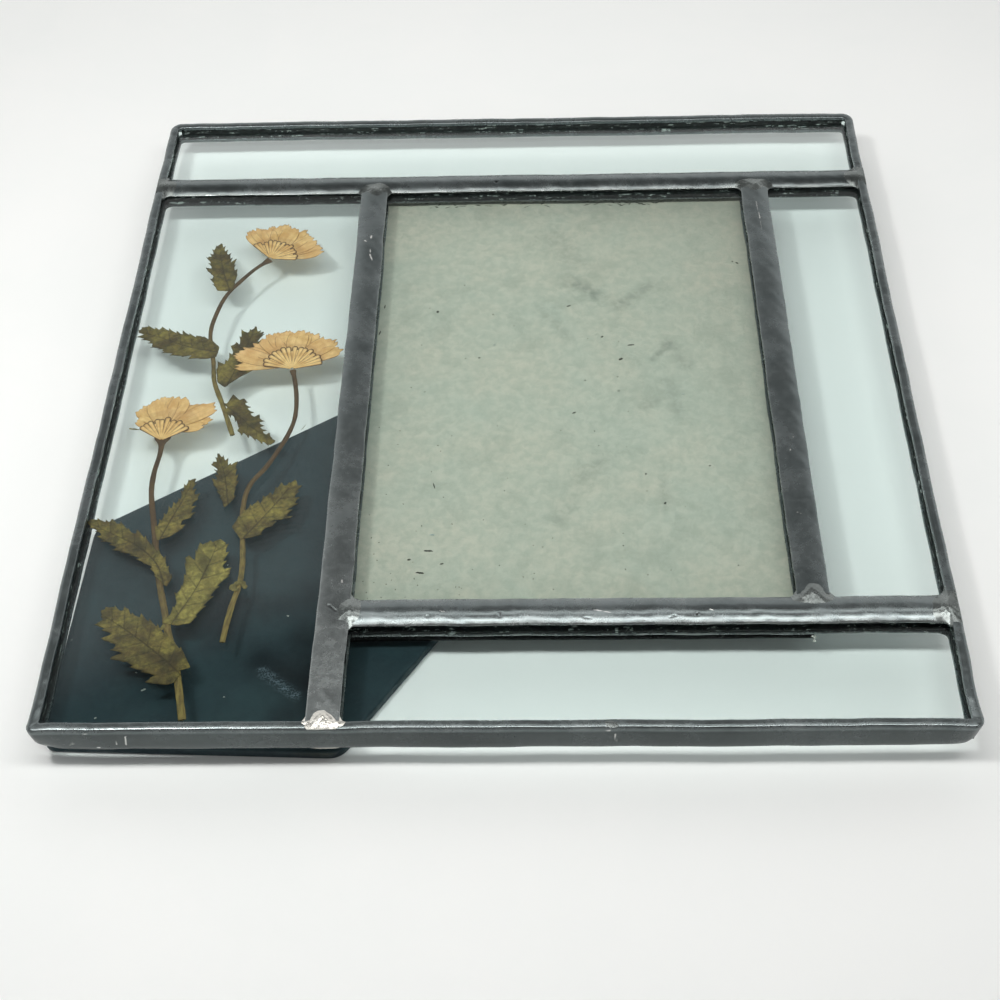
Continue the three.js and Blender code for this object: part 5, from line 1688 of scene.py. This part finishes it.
# %% Table
TABLE_REACH = 1600.0
TABLE_FINISH, tree, shader, _, place = new_finish("pale_table")
haze = effect(tree, mottling, place, Size=0.05, Seed=0.7)
feed(
    tree, shader, Base_Color=mixed(tree, haze, rgb(247, 249, 247), rgb(250, 251, 249)),
    Roughness=0.6, Metallic=0.0,
)
spread = np.linspace(-TABLE_REACH, TABLE_REACH, 5)
corners = stacked(spread[:, None], spread[None], 0.0)
table_mesh = bpy.data.meshes.new("table")
table_mesh.from_pydata((corners.reshape(-1, 3) * 0.001).tolist(), [], grid_faces(5, 5))
table_mesh.materials.append(TABLE_FINISH)
table = bpy.data.objects.new("table", table_mesh)
bpy.context.scene.collection.objects.link(table)
print("table side in m:", 2 * TABLE_REACH / 1000)

# %% Light
LAMPS = {  # lamp: place in metres, size along X and Y, lean towards the far side, watts, kinds of ray
    "long_lamp": ((0.022, -0.095, 0.34), (0.40, 0.07), 45.0, 0.88, "all"),
    "round_lamp": ((-0.145, -0.095, 0.34), (0.04, 0.04), 40.0, 0.38, "all"),
    "far_fill": ((0.0, 0.42, 0.50), (0.9, 0.4), 0.0, 0.54, "diffuse"),
    "sheen_card": ((0.0, 0.055, 0.34), (0.40, 0.06), 0.0, 0.28, "glossy"),
}


def hang_lamp(name, place, size, lean, power, kinds):
    """A rectangle of light that shines down and leans to the far side, itself out of the picture."""
    data = bpy.data.lights.new(name, "AREA")
    data.shape, data.size, data.size_y, data.energy = "RECTANGLE", *size, power
    data.color = (1.0, 0.995, 0.985)
    lamp = bpy.data.objects.new(name, data)
    lamp.location, lamp.rotation_euler = place, (math.radians(lean), 0, 0)
    lamp.visible_camera, lamp.visible_transmission = False, kinds == "all"
    lamp.visible_glossy, lamp.visible_diffuse = kinds != "diffuse", kinds != "glossy"
    bpy.context.scene.collection.objects.link(lamp)


for name, measures in LAMPS.items():
    hang_lamp(name, *measures)
print("lamps:", len(LAMPS))

# %% [markdown]
# From straight above, flat glass would mirror the lamps as hard white bars over the plants, which a
# polarising filter takes away. Here the lamps leave out the panes' own surfaces instead. Their light
# still falls through the glass on all that lies behind it, and the panes still mirror the room.

# %% No lamps mirrored in the panes
filtered = bpy.data.collections.new("panes_without_lamps")
for pane in PANES:
    filtered.objects.link(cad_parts[pane])
for member in filtered.collection_objects:
    member.light_linking.link_state = "EXCLUDE"
for name in LAMPS:
    bpy.data.objects[name].light_linking.receiver_collection = filtered

# %% [markdown]
# ## The room
# Pale walls light the frame from low down and the ceiling is dark, which keeps reflections in the panes
# faint. The near wall is dimmer than the far one, so that the sides of the leads turn dark.

# %% Room
WALL_LIGHT, UPPER_WALL_LIGHT, CEILING_LIGHT, NEAR_WALL_SHARE = 1.0, 0.24, 0.02, 0.55
UPPER_WALL_STARTS, CEILING_STARTS = (0.575, 0.625), (0.772, 0.805)
room = bpy.data.worlds.new("room")
bpy.context.scene.world = room
room.use_nodes = True
room_tree = room.node_tree
room_tree.nodes.clear()
direction = node(room_tree, "TexCoord").outputs["Generated"]
_, towards_far, upwards = node(room_tree, "SeparateXYZ", {0: direction}).outputs
greys = [(light, light, light, 1) for light in (WALL_LIGHT, UPPER_WALL_LIGHT, CEILING_LIGHT)]
wall, upper_wall, ceiling = greys
tone = mixed(room_tree, ranged(room_tree, upwards, *UPPER_WALL_STARTS), wall, upper_wall)
tone = mixed(room_tree, ranged(room_tree, upwards, *CEILING_STARTS), tone, ceiling)
near_wall = ranged(room_tree, towards_far, -0.25, 0.25, NEAR_WALL_SHARE, 1.0)
sky = node(room_tree, "Background", {"Color": tone, "Strength": near_wall})
node(room_tree, "OutputWorld", {"Surface": sky.outputs[0]})
bpy.context.scene.view_settings.view_transform = "Standard"
print("light of wall, upper wall and ceiling:", WALL_LIGHT, UPPER_WALL_LIGHT, CEILING_LIGHT)
